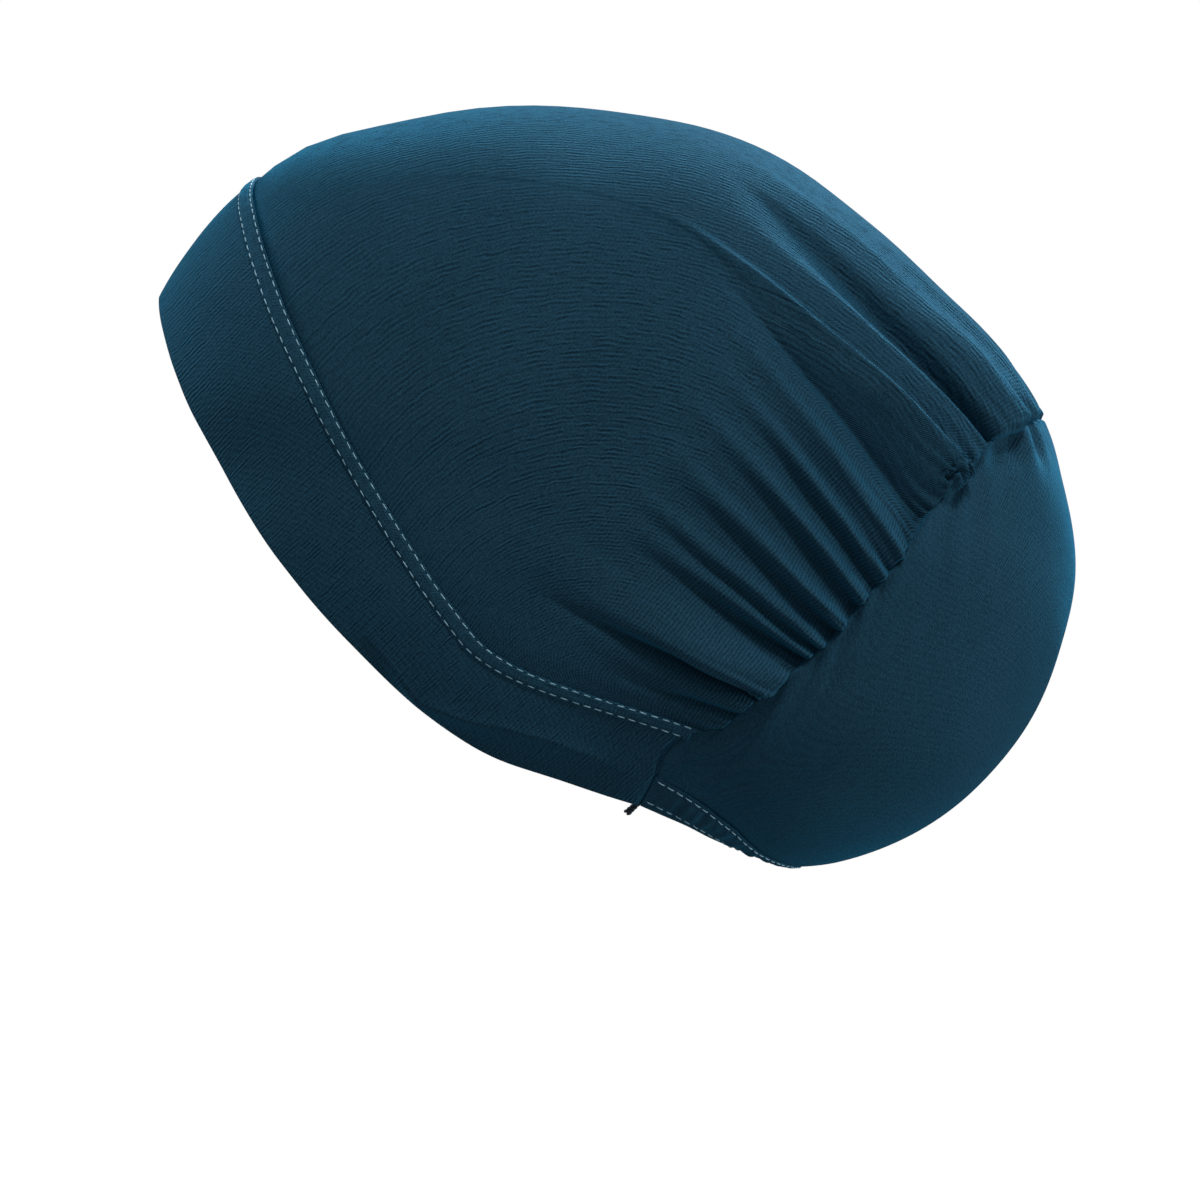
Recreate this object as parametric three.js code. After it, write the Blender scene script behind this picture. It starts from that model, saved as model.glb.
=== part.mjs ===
// Sleep cap of thin knit jersey, as it sits on a head.
// Millimetres, +Z up. The forehead faces -Y, the pouch at the back of the head is at +Y and
// the wearer's left is +X. The origin is inside the top of the crown, where the head bears.
import * as THREE from 'three';

// Cloth and seams
const CLOTH = 1.6;              // wall of the crown and the back panel
const BAND_CLOTH = 2.0;         // two layers of the same cloth
const CASING_CLOTH = 2.4;       // two layers with the elastic between them
const GAP = 0.3;                // clearance between neighbouring pieces
const STRIP_WIDTH = 6.2;        // raised strip over the front seam
const STRIP_CLOTH = 1.0;
const SEAM_DIP = 1.2;           // how far both panels sink into the gathered seam
const SEAM_DIP_WIDTH = 8;
const FOLD_END = 6;             // length over which a fold drops into the gathered seam

// The head-shaped form that the cloth lies on: a rounded body about CENTRE. REACH gives its
// outline in the middle plane, as the distance from CENTRE. An angle of 0 points to the back
// of the head, 90 up and 180 to the face.
const CENTRE = new THREE.Vector3(0, 27, -111);
const HALF_WIDTH = 80;
const FULLNESS = 2.35;          // 2 would be an ellipse from ear to ear, more is boxier
const REACH = [
  { angle: 0, reach: 134.5 },
  { angle: 15, reach: 124.5 },
  { angle: 30, reach: 113.6 },
  { angle: 45, reach: 108.6 },
  { angle: 60, reach: 108.4 },
  { angle: 75, reach: 109.3 },
  { angle: 90, reach: 111.2 },
  { angle: 105, reach: 116.8 },
  { angle: 120, reach: 126.1 },
  { angle: 135, reach: 138.8 },
  { angle: 150, reach: 147.0 },
  { angle: 165, reach: 149.5 },
  { angle: 180, reach: 140.7 },
  { angle: 195, reach: 142.9 },
  { angle: 210, reach: 145.0 },
  { angle: 225, reach: 140.5 },
  { angle: 240, reach: 133.5 },
  { angle: 255, reach: 123.7 },
  { angle: 270, reach: 118.0 },
  { angle: 285, reach: 120.4 },
  { angle: 300, reach: 133.1 },
  { angle: 315, reach: 141.1 },
  { angle: 330, reach: 143.7 },
  { angle: 345, reach: 141.5 },
];
const ANGLE_STEP = 15;

// Seams and edges as seen from the wearer's left, from the side seam to the middle plane.
// The form gives how far out each point lies, and the far side is the mirror image.
const FRONT_SEAM = [
  { y: 48, z: -185.5 },
  { y: 33, z: -180.5 },
  { y: 12.5, z: -174 },
  { y: -5, z: -167 },
  { y: -15.5, z: -160 },
  { y: -22, z: -152 },
  { y: -29, z: -142.5 },
  { y: -38, z: -128.5 },
  { y: -51, z: -107 },
  { y: -63, z: -84.5 },
  { y: -73, z: -63.5 },
  { y: -80, z: -45 },
  { y: -84, z: -31.5 },
  { y: -85, z: -20.5 },
];
const GATHERED_SEAM = [
  { y: 57, z: -184 },
  { y: 62.5, z: -179.3 },
  { y: 72, z: -172 },
  { y: 81, z: -164.6 },
  { y: 90, z: -156.5 },
  { y: 98, z: -147 },
  { y: 106, z: -138 },
  { y: 112.5, z: -128.5 },
  { y: 119, z: -119.5 },
  { y: 128, z: -108.5 },
  { y: 139, z: -98 },
  { y: 151, z: -93 },
  { y: 154.5, z: -92.5 },
];
const FACE_EDGE = [
  { y: 33, z: -207.4 },
  { y: 24, z: -204.6 },
  { y: 9.5, z: -199.8 },
  { y: -8.5, z: -193.7 },
  { y: -22.7, z: -185.5 },
  { y: -37, z: -174.2 },
  { y: -51.3, z: -159.8 },
  { y: -66, z: -143.5 },
  { y: -79, z: -126 },
  { y: -88.5, z: -110.5 },
  { y: -97.5, z: -94.5 },
  { y: -104.5, z: -79.5 },
  { y: -109, z: -66 },
  { y: -111, z: -57.5 },
  { y: -112, z: -55.5 },
];
const CASING_SEAM = [
  { y: 37.5, z: -198.7 },
  { y: 45, z: -203 },
  { y: 51, z: -207 },
  { y: 56.5, z: -211.4 },
  { y: 61, z: -215 },
  { y: 65, z: -219 },
  { y: 70, z: -223 },
  { y: 76, z: -226 },
  { y: 83, z: -227.5 },
];
const NAPE_EDGE = [
  { y: 33, z: -207.4 },
  { y: 38, z: -209.7 },
  { y: 47, z: -214 },
  { y: 54, z: -218.3 },
  { y: 60, z: -221.8 },
  { y: 66, z: -224.4 },
  { y: 72, z: -226.6 },
];
// Where the band ends at the back: down past the back panel, then past the casing
const SIDE_SEAM = [
  { y: 48, z: -185.5 },
  { y: 43, z: -188.5 },
  { y: 39, z: -193.5 },
  { y: 37.5, z: -198.7 },
  { y: 33, z: -207.4 },
];
const SIDE_SEAM_AT_CASING = 3;  // row of SIDE_SEAM where the back panel meets the casing
const SIDE_BOW_FADE = 0.12;     // share of a panel's length over which its end's bow dies out

// Folds along the gathered seam, from the wearer's left side seam up to the middle: where
// each one meets the seam as a share of its length, how far it stands out or sinks in, and
// how far forward it starts, 0 being the front seam and 1 the gathered seam.
const FOLDS = [
  { at: 0.007, height: 0.8, start: 0.42 },
  { at: 0.014, height: -1.2, start: 0.42 },
  { at: 0.026, height: 1.4, start: 0.42 },
  { at: 0.033, height: 0.0, start: 0.44 },
  { at: 0.041, height: -3.4, start: 0.4 },
  { at: 0.056, height: 4.0, start: 0.4 },
  { at: 0.086, height: -3.0, start: 0.56 },
  { at: 0.094, height: 1.0, start: 0.46 },
  { at: 0.1, height: -1.0, start: 0.62 },
  { at: 0.107, height: 1.8, start: 0.42 },
  { at: 0.12, height: -3.2, start: 0.52 },
  { at: 0.13, height: 2.2, start: 0.44 },
  { at: 0.149, height: -3.2, start: 0.56 },
  { at: 0.157, height: 2.0, start: 0.48 },
  { at: 0.171, height: -2.4, start: 0.54 },
  { at: 0.181, height: 1.8, start: 0.48 },
  { at: 0.193, height: -0.4, start: 0.6 },
  { at: 0.206, height: 2.2, start: 0.46 },
  { at: 0.24, height: -4.2, start: 0.56 },
  { at: 0.292, height: 5.0, start: 0.46 },
  { at: 0.303, height: 1.8, start: 0.56 },
  { at: 0.326, height: 3.2, start: 0.52 },
  { at: 0.343, height: -5.0, start: 0.48 },
  { at: 0.353, height: 3.4, start: 0.48 },
  { at: 0.378, height: 4.8, start: 0.44 },
  { at: 0.392, height: 2.0, start: 0.54 },
  { at: 0.414, height: 1.8, start: 0.56 },
  { at: 0.425, height: -0.8, start: 0.6 },
  { at: 0.468, height: 0.4, start: 0.62 },
];
const MIDDLE_FOLD = { at: 0.5, height: -1.6, start: 0.7 };
const FOLD_FULL = 0.92;         // share of the way to the seam where folds are full

// How the crown's cloth runs, which the folds follow: where each line of it meets the gathered
// seam, the place that it passes as seen from the wearer's left, and where it leaves the front
// seam. Both are shares of the seam's length.
const CLOTH_LINES = [
  { at: 0, y: 52.5, z: -184.8, front: 0 },
  { at: 0.01, y: 30, z: -172.5, front: 0.05 },
  { at: 0.02, y: 22, z: -165, front: 0.09 },
  { at: 0.03, y: 17, z: -157, front: 0.125 },
  { at: 0.043, y: 14, z: -149.5, front: 0.165 },
  { at: 0.06, y: 12.6, z: -139.5, front: 0.21 },
  { at: 0.1, y: 26.1, z: -116.8, front: 0.285 },
  { at: 0.13, y: 34.4, z: -97.9, front: 0.32 },
  { at: 0.16, y: 43, z: -82, front: 0.35 },
  { at: 0.19, y: 49, z: -67, front: 0.375 },
  { at: 0.25, y: 50, z: -44, front: 0.41 },
  { at: 0.3, y: 50, z: -38, front: 0.434 },
  { at: 0.35, y: 53, z: -20, front: 0.456 },
  { at: 0.4, y: 54.5, z: -11.5, front: 0.474 },
  { at: 0.45, y: 55.5, z: -6.5, front: 0.488 },
  { at: 0.5, y: 56, z: -5.5, front: 0.5 },
];
const PASS_SHARE = 0.45;        // share of the way back at which a line passes its place
const PASS_TURN = 1.0;          // how far a line has turned towards its end there

// The band's lower edge turns under at the cheek
const TURN_START = 0.6;         // share of the way down the band
const TURN_DEPTH = 2.8;
const TURN_FROM = 0.015;
const TURN_FULL = 0.1;
const TURN_UNTIL = 0.24;

// The casing tucks in under the pouch and is scrunched by its elastic
const TUCK = 4;
const CASING_BULGE = 0.8;
const SCRUNCH = 0.5;
const SCRUNCH_COUNT = 17;

// Clipped end of the side seam's stitching
const TAIL_WIDTH = 2.2;
const TAIL_THICKNESS = 1.2;
const TAIL_LENGTH = 5;
const TAIL_START = 0.75;        // clear of the rim, which runs past at a slant
const TAIL_TURN = 0.7;          // radians that the tail leans forward from hanging straight

// Mesh fineness
const GATHERED_STEP = 7.5;      // longest step along the gathered seam
const FRONT_STEP = 9;           // longest step along the front seam
const BACK_STEP = 9;            // longest step along the back panel's upper edge
const CROWN_ROWS = 13;
const CROWN_ROW_EASE = 1.4;     // more than 1 brings the rows together at the gathered seam
const BACK_ROWS = 9;
const BACK_ROW_EASE = 1.4;
const CASING_COLUMNS = 40;
const CASING_ROWS = 2;
const STRIP_ROWS = 1;

// Small helpers
function smooth(x) {
  const f = Math.min(1, Math.max(0, x));
  return f * f * (3 - 2 * f);
}

// Smooth way from one value to another, with its slopes at the start and the end
function ease(from, to, leave, arrive, f) {
  const bend = 2 * from - 2 * to + leave + arrive;
  const curve = -3 * from + 3 * to - 2 * leave - arrive;
  return ((bend * f + curve) * f + leave) * f + from;
}

// The form
function reachAt(angle) {
  const place = (angle + 360) / ANGLE_STEP;
  const row = Math.floor(place);
  const [before, from, to, after] = [-1, 0, 1, 2].map((k) => REACH[(row + k) % REACH.length].reach);
  return ease(from, to, (to - before) / 2, (after - from) / 2, place - row);
}

function formRadius(direction) {
  const across = Math.abs(direction.x) / HALF_WIDTH;
  const angle = THREE.MathUtils.radToDeg(Math.atan2(direction.z, direction.y));
  const along = Math.hypot(direction.y, direction.z) / reachAt(angle);
  return (across ** FULLNESS + along ** FULLNESS) ** (-1 / FULLNESS);
}

function onForm(point) {
  const direction = point.clone().sub(CENTRE).normalize();
  return direction.multiplyScalar(formRadius(direction)).add(CENTRE);
}

function formNormal(point) {
  const step = 0.5;
  const level = (x, y, z) => {
    const offset = new THREE.Vector3(x, y, z).add(point).sub(CENTRE);
    return offset.length() / formRadius(offset.clone().normalize());
  };
  return new THREE.Vector3(
    level(step, 0, 0) - level(-step, 0, 0),
    level(0, step, 0) - level(0, -step, 0),
    level(0, 0, step) - level(0, 0, -step),
  ).normalize();
}

function sideDepth(y, z) {
  const angle = THREE.MathUtils.radToDeg(Math.atan2(z - CENTRE.z, y - CENTRE.y));
  const along = Math.hypot(y - CENTRE.y, z - CENTRE.z) / reachAt(angle);
  return HALF_WIDTH * Math.max(0, 1 - along ** FULLNESS) ** (1 / FULLNESS);
}

// Shortest way over the form between two of its points
function between(from, to, share) {
  const a = from.clone().sub(CENTRE).normalize();
  const b = to.clone().sub(CENTRE).normalize();
  const spread = a.angleTo(b);
  if (spread < 1e-6) return onForm(from);
  a.multiplyScalar(Math.sin((1 - share) * spread));
  b.multiplyScalar(Math.sin(share * spread));
  return onForm(a.add(b).add(CENTRE));
}

function nearPoints(rows) {
  return rows.map((row) => new THREE.Vector3(sideDepth(row.y, row.z), row.y, row.z));
}

function formLine(curve) {
  curve.arcLengthDivisions = 800;
  return {
    length: curve.getLength(),
    at: (share) => onForm(curve.getPointAt(share)),
  };
}

// A smooth line over the form, from the near side to its mirror image on the far side
function roundLine(rows) {
  const near = nearPoints(rows);
  const far = near.slice(0, -1).reverse().map((p) => new THREE.Vector3(-p.x, p.y, p.z));
  near[near.length - 1].x = 0;
  return formLine(new THREE.CatmullRomCurve3([...near, ...far]));
}

// A line of straight stretches on the near side alone
function straightLine(rows) {
  return formLine(new THREE.CatmullRomCurve3(nearPoints(rows), false, 'catmullrom', 0));
}

// How far along its line each row of a table lies
function rowShares(rows) {
  const points = nearPoints(rows);
  const lengths = points.map((point, k) => (k ? point.distanceTo(points[k - 1]) : 0));
  const total = lengths.reduce((sum, length) => sum + length);
  let run = 0;
  return lengths.map((length) => {
    run += length;
    return run / total;
  });
}

const frontSeam = roundLine(FRONT_SEAM);
const gatheredSeam = roundLine(GATHERED_SEAM);
const faceEdge = roundLine(FACE_EDGE);
const casingSeam = roundLine(CASING_SEAM);
const napeEdge = roundLine(NAPE_EDGE);
const bandEnd = straightLine(SIDE_SEAM);
const backPanelEnd = straightLine(SIDE_SEAM.slice(0, SIDE_SEAM_AT_CASING + 1));
const casingEnd = straightLine(SIDE_SEAM.slice(SIDE_SEAM_AT_CASING));

// A panel between an upper and a lower line, whose two ends follow the side seam
function panelPoint(upper, lower, end, along, down) {
  const point = between(upper.at(along), lower.at(along), down);
  const near = Math.min(along, 1 - along) / SIDE_BOW_FADE;
  if (near >= 1) return point;
  const bow = end.at(down).sub(between(upper.at(0), lower.at(0), down));
  if (along > 0.5) bow.x = -bow.x;
  return onForm(point.addScaledVector(bow, (1 - near) ** 2));
}

// Share that stays inside a panel by half the gap at each of its edges
function inset(share, length) {
  const edge = GAP / 2 / length;
  return edge + share * (1 - 2 * edge);
}

// Folds of the crown
const foldsAcross = [
  ...FOLDS,
  MIDDLE_FOLD,
  ...FOLDS.map((fold, k) => ({
    at: 1 - fold.at - 0.003 * Math.sin(2.3 * k),
    height: fold.height * (1 + 0.2 * Math.sin(1.7 * k)),
    start: fold.start,
  })).reverse(),
];

function foldGrown(fold, forward) {
  return fold.height * smooth((forward - fold.start) / (FOLD_FULL - fold.start));
}

function foldHeight(at, forward) {
  const next = foldsAcross.findIndex((fold) => fold.at >= at);
  if (next === 0) return foldGrown(foldsAcross[0], forward);
  if (next < 0) return foldGrown(foldsAcross[foldsAcross.length - 1], forward);
  const left = foldsAcross[next - 1];
  const right = foldsAcross[next];
  const share = (at - left.at) / (right.at - left.at);
  // Round over the ridges and sharp in the valleys
  const towardsRight = left.height < right.height
    ? Math.sin(share * Math.PI / 2)
    : 1 - Math.cos(share * Math.PI / 2);
  return THREE.MathUtils.lerp(foldGrown(left, forward), foldGrown(right, forward), towardsRight);
}

// Lines of the crown's cloth, from the near side seam over the middle to the far one
const nearLines = CLOTH_LINES.map((line) => ({ ...line, x: sideDepth(line.y, line.z) }));
nearLines[nearLines.length - 1].x = 0;
const clothLines = [
  ...nearLines,
  ...nearLines.slice(0, -1).reverse().map((line) => ({
    ...line, at: 1 - line.at, x: -line.x, front: 1 - line.front,
  })),
];

function lineSlope(row, key) {
  const here = clothLines[row];
  const steps = [clothLines[row - 1], clothLines[row + 1]].filter((line) => line).map((line) => ({
    length: Math.abs(line.at - here.at),
    slope: (line[key] - here[key]) / (line.at - here.at),
  }));
  if (steps.length === 1) return steps[0].slope;
  const [before, after] = steps;
  return (before.slope * after.length + after.slope * before.length) / (before.length + after.length);
}

// A value of the cloth lines at any share of the gathered seam
function lineValue(at, key) {
  const above = clothLines.findIndex((line) => line.at > at);
  const next = above < 0 ? clothLines.length - 1 : above;
  const [from, to] = [clothLines[next - 1], clothLines[next]];
  const step = to.at - from.at;
  const [leave, arrive] = [lineSlope(next - 1, key) * step, lineSlope(next, key) * step];
  return ease(from[key], to[key], leave, arrive, (at - from.at) / step);
}

// The crown's cloth goes from the front seam past the place of its line, then to the gathers
function crownPoint(at, forward) {
  const from = frontSeam.at(inset(lineValue(at, 'front'), frontSeam.length));
  const pass = onForm(new THREE.Vector3(...['x', 'y', 'z'].map((key) => lineValue(at, key))));
  pass.z += GAP / 2;
  const to = gatheredSeam.at(inset(at, gatheredSeam.length));
  const share = inset(forward, from.distanceTo(to));
  const rest = 1 - PASS_SHARE;
  const [x, y, z] = ['x', 'y', 'z'].map((axis) => {
    const coming = (pass[axis] - from[axis]) / PASS_SHARE;
    const going = (to[axis] - pass[axis]) / rest;
    const slope = coming + (going - coming) * PASS_TURN;
    const [leave, arrive] = [2 * coming - slope, 2 * going - slope];
    return share < PASS_SHARE
      ? ease(from[axis], pass[axis], leave * PASS_SHARE, slope * PASS_SHARE, share / PASS_SHARE)
      : ease(pass[axis], to[axis], slope * rest, arrive * rest, (share - PASS_SHARE) / rest);
  });
  return { point: onForm(new THREE.Vector3(x, y, z)), to };
}

function seamDip(distance) {
  return SEAM_DIP * (1 - smooth(distance / SEAM_DIP_WIDTH));
}

// Where each panel's cloth lies: a point of the form and how far the cloth stands off it
function crownPlace(at, forward) {
  const { point, to } = crownPoint(at, forward);
  const toSeam = point.distanceTo(to);
  const lift = foldHeight(at, forward) * smooth(toSeam / FOLD_END) - seamDip(toSeam);
  return { point, lift };
}

function bandPlace(along, down) {
  const around = inset(along, frontSeam.length);
  const drop = frontSeam.at(around).distanceTo(faceEdge.at(around));
  const point = panelPoint(frontSeam, faceEdge, bandEnd, around, inset(down, drop));
  const side = Math.min(along, 1 - along);
  const grow = smooth((side - TURN_FROM) / (TURN_FULL - TURN_FROM));
  const shrink = smooth((TURN_UNTIL - side) / (TURN_UNTIL - TURN_FULL));
  const lift = -TURN_DEPTH * grow * shrink * smooth((down - TURN_START) / (1 - TURN_START));
  return { point, lift };
}

// The back panel's upper edge runs under the crown's corner, along the gathers and back down
const cornerLength = frontSeam.at(0).distanceTo(gatheredSeam.at(0));
const backTopLength = gatheredSeam.length + 2 * cornerLength;
const backTop = {
  length: backTopLength,
  at: (share) => {
    const run = share * backTopLength - cornerLength;
    const beyond = run - gatheredSeam.length;
    if (run < 0) return between(gatheredSeam.at(0), frontSeam.at(0), -run / cornerLength);
    if (beyond > 0) return between(gatheredSeam.at(1), frontSeam.at(1), beyond / cornerLength);
    return gatheredSeam.at(run / gatheredSeam.length);
  },
};

function backPlace(along, down) {
  const around = inset(along, backTop.length);
  const from = backTop.at(around);
  const drop = from.distanceTo(casingSeam.at(around));
  const point = panelPoint(backTop, casingSeam, backPanelEnd, around, inset(down, drop));
  return { point, lift: -seamDip(point.distanceTo(from)) };
}

function casingPlace(along, down) {
  const around = inset(along, casingSeam.length);
  const drop = casingSeam.at(around).distanceTo(napeEdge.at(around));
  const point = panelPoint(casingSeam, napeEdge, casingEnd, around, inset(down, drop));
  const middle = Math.sin(Math.PI * along);
  const scrunch = SCRUNCH * Math.sin(2 * Math.PI * SCRUNCH_COUNT * along);
  const bulge = (CASING_BULGE + scrunch) * Math.sin(Math.PI * down) * smooth(4 * middle);
  return { point, lift: bulge - TUCK * middle ** 3 * down ** 2 };
}

function stripPlace(along, across) {
  const around = inset(along, frontSeam.length);
  const seam = frontSeam.at(around);
  const side = across < 0.5 ? gatheredSeam : faceEdge;
  const towards = side.at(around);
  const reach = Math.abs(across - 0.5) * STRIP_WIDTH / seam.distanceTo(towards);
  return { point: between(seam, towards, reach), lift: GAP + STRIP_CLOTH };
}

// A closed sheet of cloth: an outer face, an inner face and a border round both
function sheet(columns, rows, place, cloth) {
  const positions = [];
  for (const column of columns) {
    for (const row of rows) {
      const { point, lift } = place(column, row);
      const normal = formNormal(point);
      positions.push(...point.clone().addScaledVector(normal, lift).toArray());
      positions.push(...point.clone().addScaledVector(normal, lift - cloth).toArray());
    }
  }
  const across = rows.length;
  const outer = (i, j) => 2 * (i * across + j);
  const inner = (i, j) => outer(i, j) + 1;
  const faces = [];
  const quad = (a, b, c, d) => faces.push(a, b, c, a, c, d);
  const lastColumn = columns.length - 1;
  const lastRow = rows.length - 1;
  for (let i = 0; i < lastColumn; i += 1) {
    for (let j = 0; j < lastRow; j += 1) {
      quad(outer(i, j), outer(i + 1, j), outer(i + 1, j + 1), outer(i, j + 1));
      quad(inner(i, j), inner(i, j + 1), inner(i + 1, j + 1), inner(i + 1, j));
    }
    quad(outer(i + 1, 0), outer(i, 0), inner(i, 0), inner(i + 1, 0));
    quad(outer(i, lastRow), outer(i + 1, lastRow), inner(i + 1, lastRow), inner(i, lastRow));
  }
  for (let j = 0; j < lastRow; j += 1) {
    quad(outer(0, j), outer(0, j + 1), inner(0, j + 1), inner(0, j));
    quad(outer(lastColumn, j + 1), outer(lastColumn, j), inner(lastColumn, j), inner(lastColumn, j + 1));
  }
  return closedGeometry(positions, faces);
}

function closedGeometry(positions, faces) {
  const corner = (k) => new THREE.Vector3().fromArray(positions, 3 * k);
  let volume = 0;
  for (let k = 0; k < faces.length; k += 3) {
    volume += corner(faces[k]).dot(corner(faces[k + 1]).cross(corner(faces[k + 2])));
  }
  if (volume < 0) faces.reverse();
  const geometry = new THREE.BufferGeometry();
  geometry.setAttribute('position', new THREE.Float32BufferAttribute(positions, 3));
  geometry.setIndex(faces);
  geometry.computeVertexNormals();
  return geometry;
}

// Even shares from 0 to 1, brought together at the end where the ease is over 1
function shares(count, ease = 1) {
  return Array.from({ length: count + 1 }, (_, k) => 1 - (1 - k / count) ** ease);
}

// A column on each ridge and in each valley, and more where either seam has a long stretch
function foldColumns() {
  const marks = [0, ...foldsAcross.map((fold) => fold.at), 1];
  const columns = [];
  marks.slice(1).forEach((mark, k) => {
    const last = marks[k];
    const gathered = (mark - last) * gatheredSeam.length / GATHERED_STEP;
    const front = (lineValue(mark, 'front') - lineValue(last, 'front')) * frontSeam.length / FRONT_STEP;
    const count = Math.ceil(Math.max(gathered, front));
    for (let j = 0; j < count; j += 1) columns.push(last + (mark - last) * j / count);
  });
  return [...columns, 1];
}

// Fewer of the same columns, as long as their steps stay within the given one
function thinned(columns, step) {
  const kept = [columns[0]];
  columns.slice(1).forEach((column, k) => {
    const next = columns[k + 2] ?? Infinity;
    if (next - kept[kept.length - 1] > step) kept.push(column);
  });
  return kept;
}

// Clipped seam end: a short bent tab below the rim at the near side seam
function seamTail() {
  const rim = faceEdge.at(0);
  const outward = formNormal(rim);
  const down = new THREE.Vector3(0, -Math.sin(TAIL_TURN), -Math.cos(TAIL_TURN));
  down.addScaledVector(outward, -down.dot(outward)).normalize();
  const forward = new THREE.Vector3().crossVectors(down, outward);
  const outline = new THREE.Shape();
  outline.moveTo(-TAIL_WIDTH / 2, TAIL_START);
  outline.lineTo(TAIL_WIDTH / 2, TAIL_START);
  outline.lineTo(TAIL_WIDTH * 0.65, TAIL_LENGTH);
  outline.lineTo(-TAIL_WIDTH * 0.4, TAIL_LENGTH + TAIL_WIDTH * 0.3);
  outline.closePath();
  const geometry = new THREE.ExtrudeGeometry(outline, { depth: TAIL_THICKNESS, bevelEnabled: false });
  geometry.translate(0, 0, -(BAND_CLOTH + TAIL_THICKNESS) / 2);
  geometry.applyMatrix4(new THREE.Matrix4().makeBasis(forward, down, outward).setPosition(rim));
  return geometry;
}

// Materials
const jersey = () => new THREE.MeshStandardMaterial({ color: 0x1f4a60, roughness: 0.9, metalness: 0 });
const thread = () => new THREE.MeshStandardMaterial({ color: 0x10212b, roughness: 0.85, metalness: 0 });

const cap = new THREE.Group();
cap.name = 'sleep_cap';

function addPiece(name, geometry, material) {
  const piece = new THREE.Mesh(geometry, material);
  piece.name = name;
  cap.add(piece);
}

const columns = foldColumns();
const frontColumns = columns.map((at) => lineValue(at, 'front'));
const backColumns = thinned(columns, BACK_STEP / gatheredSeam.length).map((at) => (
  (at * gatheredSeam.length + cornerLength) / backTopLength));
addPiece('crown', sheet(columns, shares(CROWN_ROWS, CROWN_ROW_EASE), crownPlace, CLOTH), jersey());
addPiece('front_band', sheet(frontColumns, rowShares(SIDE_SEAM), bandPlace, BAND_CLOTH), jersey());
addPiece('front_seam', sheet(frontColumns, shares(2 * STRIP_ROWS), stripPlace, STRIP_CLOTH), jersey());
addPiece('back_panel', sheet([0, ...backColumns, 1], shares(BACK_ROWS, BACK_ROW_EASE), backPlace, CLOTH), jersey());
addPiece('nape_casing', sheet(shares(CASING_COLUMNS), shares(CASING_ROWS), casingPlace, CASING_CLOTH), jersey());
addPiece('seam_tail', seamTail(), thread());

export default cap;
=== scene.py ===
"""Sleep cap of thin dark teal jersey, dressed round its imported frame.

The frame's solids hold the cap's form on a head. This script replaces each of them with fine
cloth: the band round the face, the crown with its gathers, the raised seam between them, the
smooth back panel and the scrunched nape casing, then adds every stitch and lights a plain
studio. Tables and sizes are in millimetres, and meshes are written in metres.
"""
import logging
import math
from dataclasses import dataclass
from enum import Enum
from typing import Callable, Sequence

import bpy
import numpy as np
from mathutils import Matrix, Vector
from numpy.typing import NDArray


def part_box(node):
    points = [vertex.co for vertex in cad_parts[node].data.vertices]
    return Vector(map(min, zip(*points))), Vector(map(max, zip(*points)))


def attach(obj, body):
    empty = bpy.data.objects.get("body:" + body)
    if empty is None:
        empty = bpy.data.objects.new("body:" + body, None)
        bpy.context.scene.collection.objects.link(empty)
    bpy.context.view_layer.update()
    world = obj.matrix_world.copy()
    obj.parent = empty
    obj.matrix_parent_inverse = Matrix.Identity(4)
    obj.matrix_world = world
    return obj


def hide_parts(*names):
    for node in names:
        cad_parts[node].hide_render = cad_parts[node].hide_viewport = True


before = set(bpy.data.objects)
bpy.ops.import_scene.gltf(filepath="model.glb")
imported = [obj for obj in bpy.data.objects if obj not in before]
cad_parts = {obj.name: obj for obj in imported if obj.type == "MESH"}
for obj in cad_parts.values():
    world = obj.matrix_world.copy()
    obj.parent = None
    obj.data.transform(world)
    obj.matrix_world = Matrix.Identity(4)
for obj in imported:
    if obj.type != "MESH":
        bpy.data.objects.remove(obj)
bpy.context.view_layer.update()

LOG = logging.getLogger("sleep_cap")
Array = NDArray[np.float64]

MM = 0.001
BODY = "root"

# Form of the worn cap: distance from its centre to its outline in the middle plane, every
# 15 degrees, where 0 points to the back of the head, 90 up and 180 to the face
REACH_STEP = 15.0
REACH = (
    134.5, 124.5, 113.6, 108.6, 108.4, 109.3,
    111.2, 116.8, 126.1, 138.8, 147.0, 149.5,
    140.7, 142.9, 145.0, 140.5, 133.5, 123.7,
    118.0, 120.4, 133.1, 141.1, 143.7, 141.5,
)

# Seams and edges from the wearer's left side seam to the middle plane, as (y, z)
FRONT_SEAM = (
    (48.0, -185.5), (33.0, -180.5), (12.5, -174.0), (-5.0, -167.0), (-15.5, -160.0),
    (-22.0, -152.0), (-29.0, -142.5), (-38.0, -128.5), (-51.0, -107.0), (-63.0, -84.5),
    (-73.0, -63.5), (-80.0, -45.0), (-84.0, -31.5), (-85.0, -20.5),
)
GATHERED_SEAM = (
    (57.0, -184.0), (62.5, -179.3), (72.0, -172.0), (81.0, -164.6), (90.0, -156.5),
    (98.0, -147.0), (106.0, -138.0), (112.5, -128.5), (119.0, -119.5), (128.0, -108.5),
    (139.0, -98.0), (151.0, -93.0), (154.5, -92.5),
)
FACE_EDGE = (
    (33.0, -207.4), (24.0, -204.6), (9.5, -199.8), (-8.5, -193.7), (-22.7, -185.5),
    (-37.0, -174.2), (-51.3, -159.8), (-66.0, -143.5), (-79.0, -126.0), (-88.5, -110.5),
    (-97.5, -94.5), (-104.5, -79.5), (-109.0, -66.0), (-111.0, -57.5), (-112.0, -55.5),
)
CASING_SEAM = (
    (37.5, -198.7), (45.0, -203.0), (51.0, -207.0), (56.5, -211.4), (61.0, -215.0),
    (65.0, -219.0), (70.0, -223.0), (76.0, -226.0), (83.0, -227.5),
)
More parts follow.
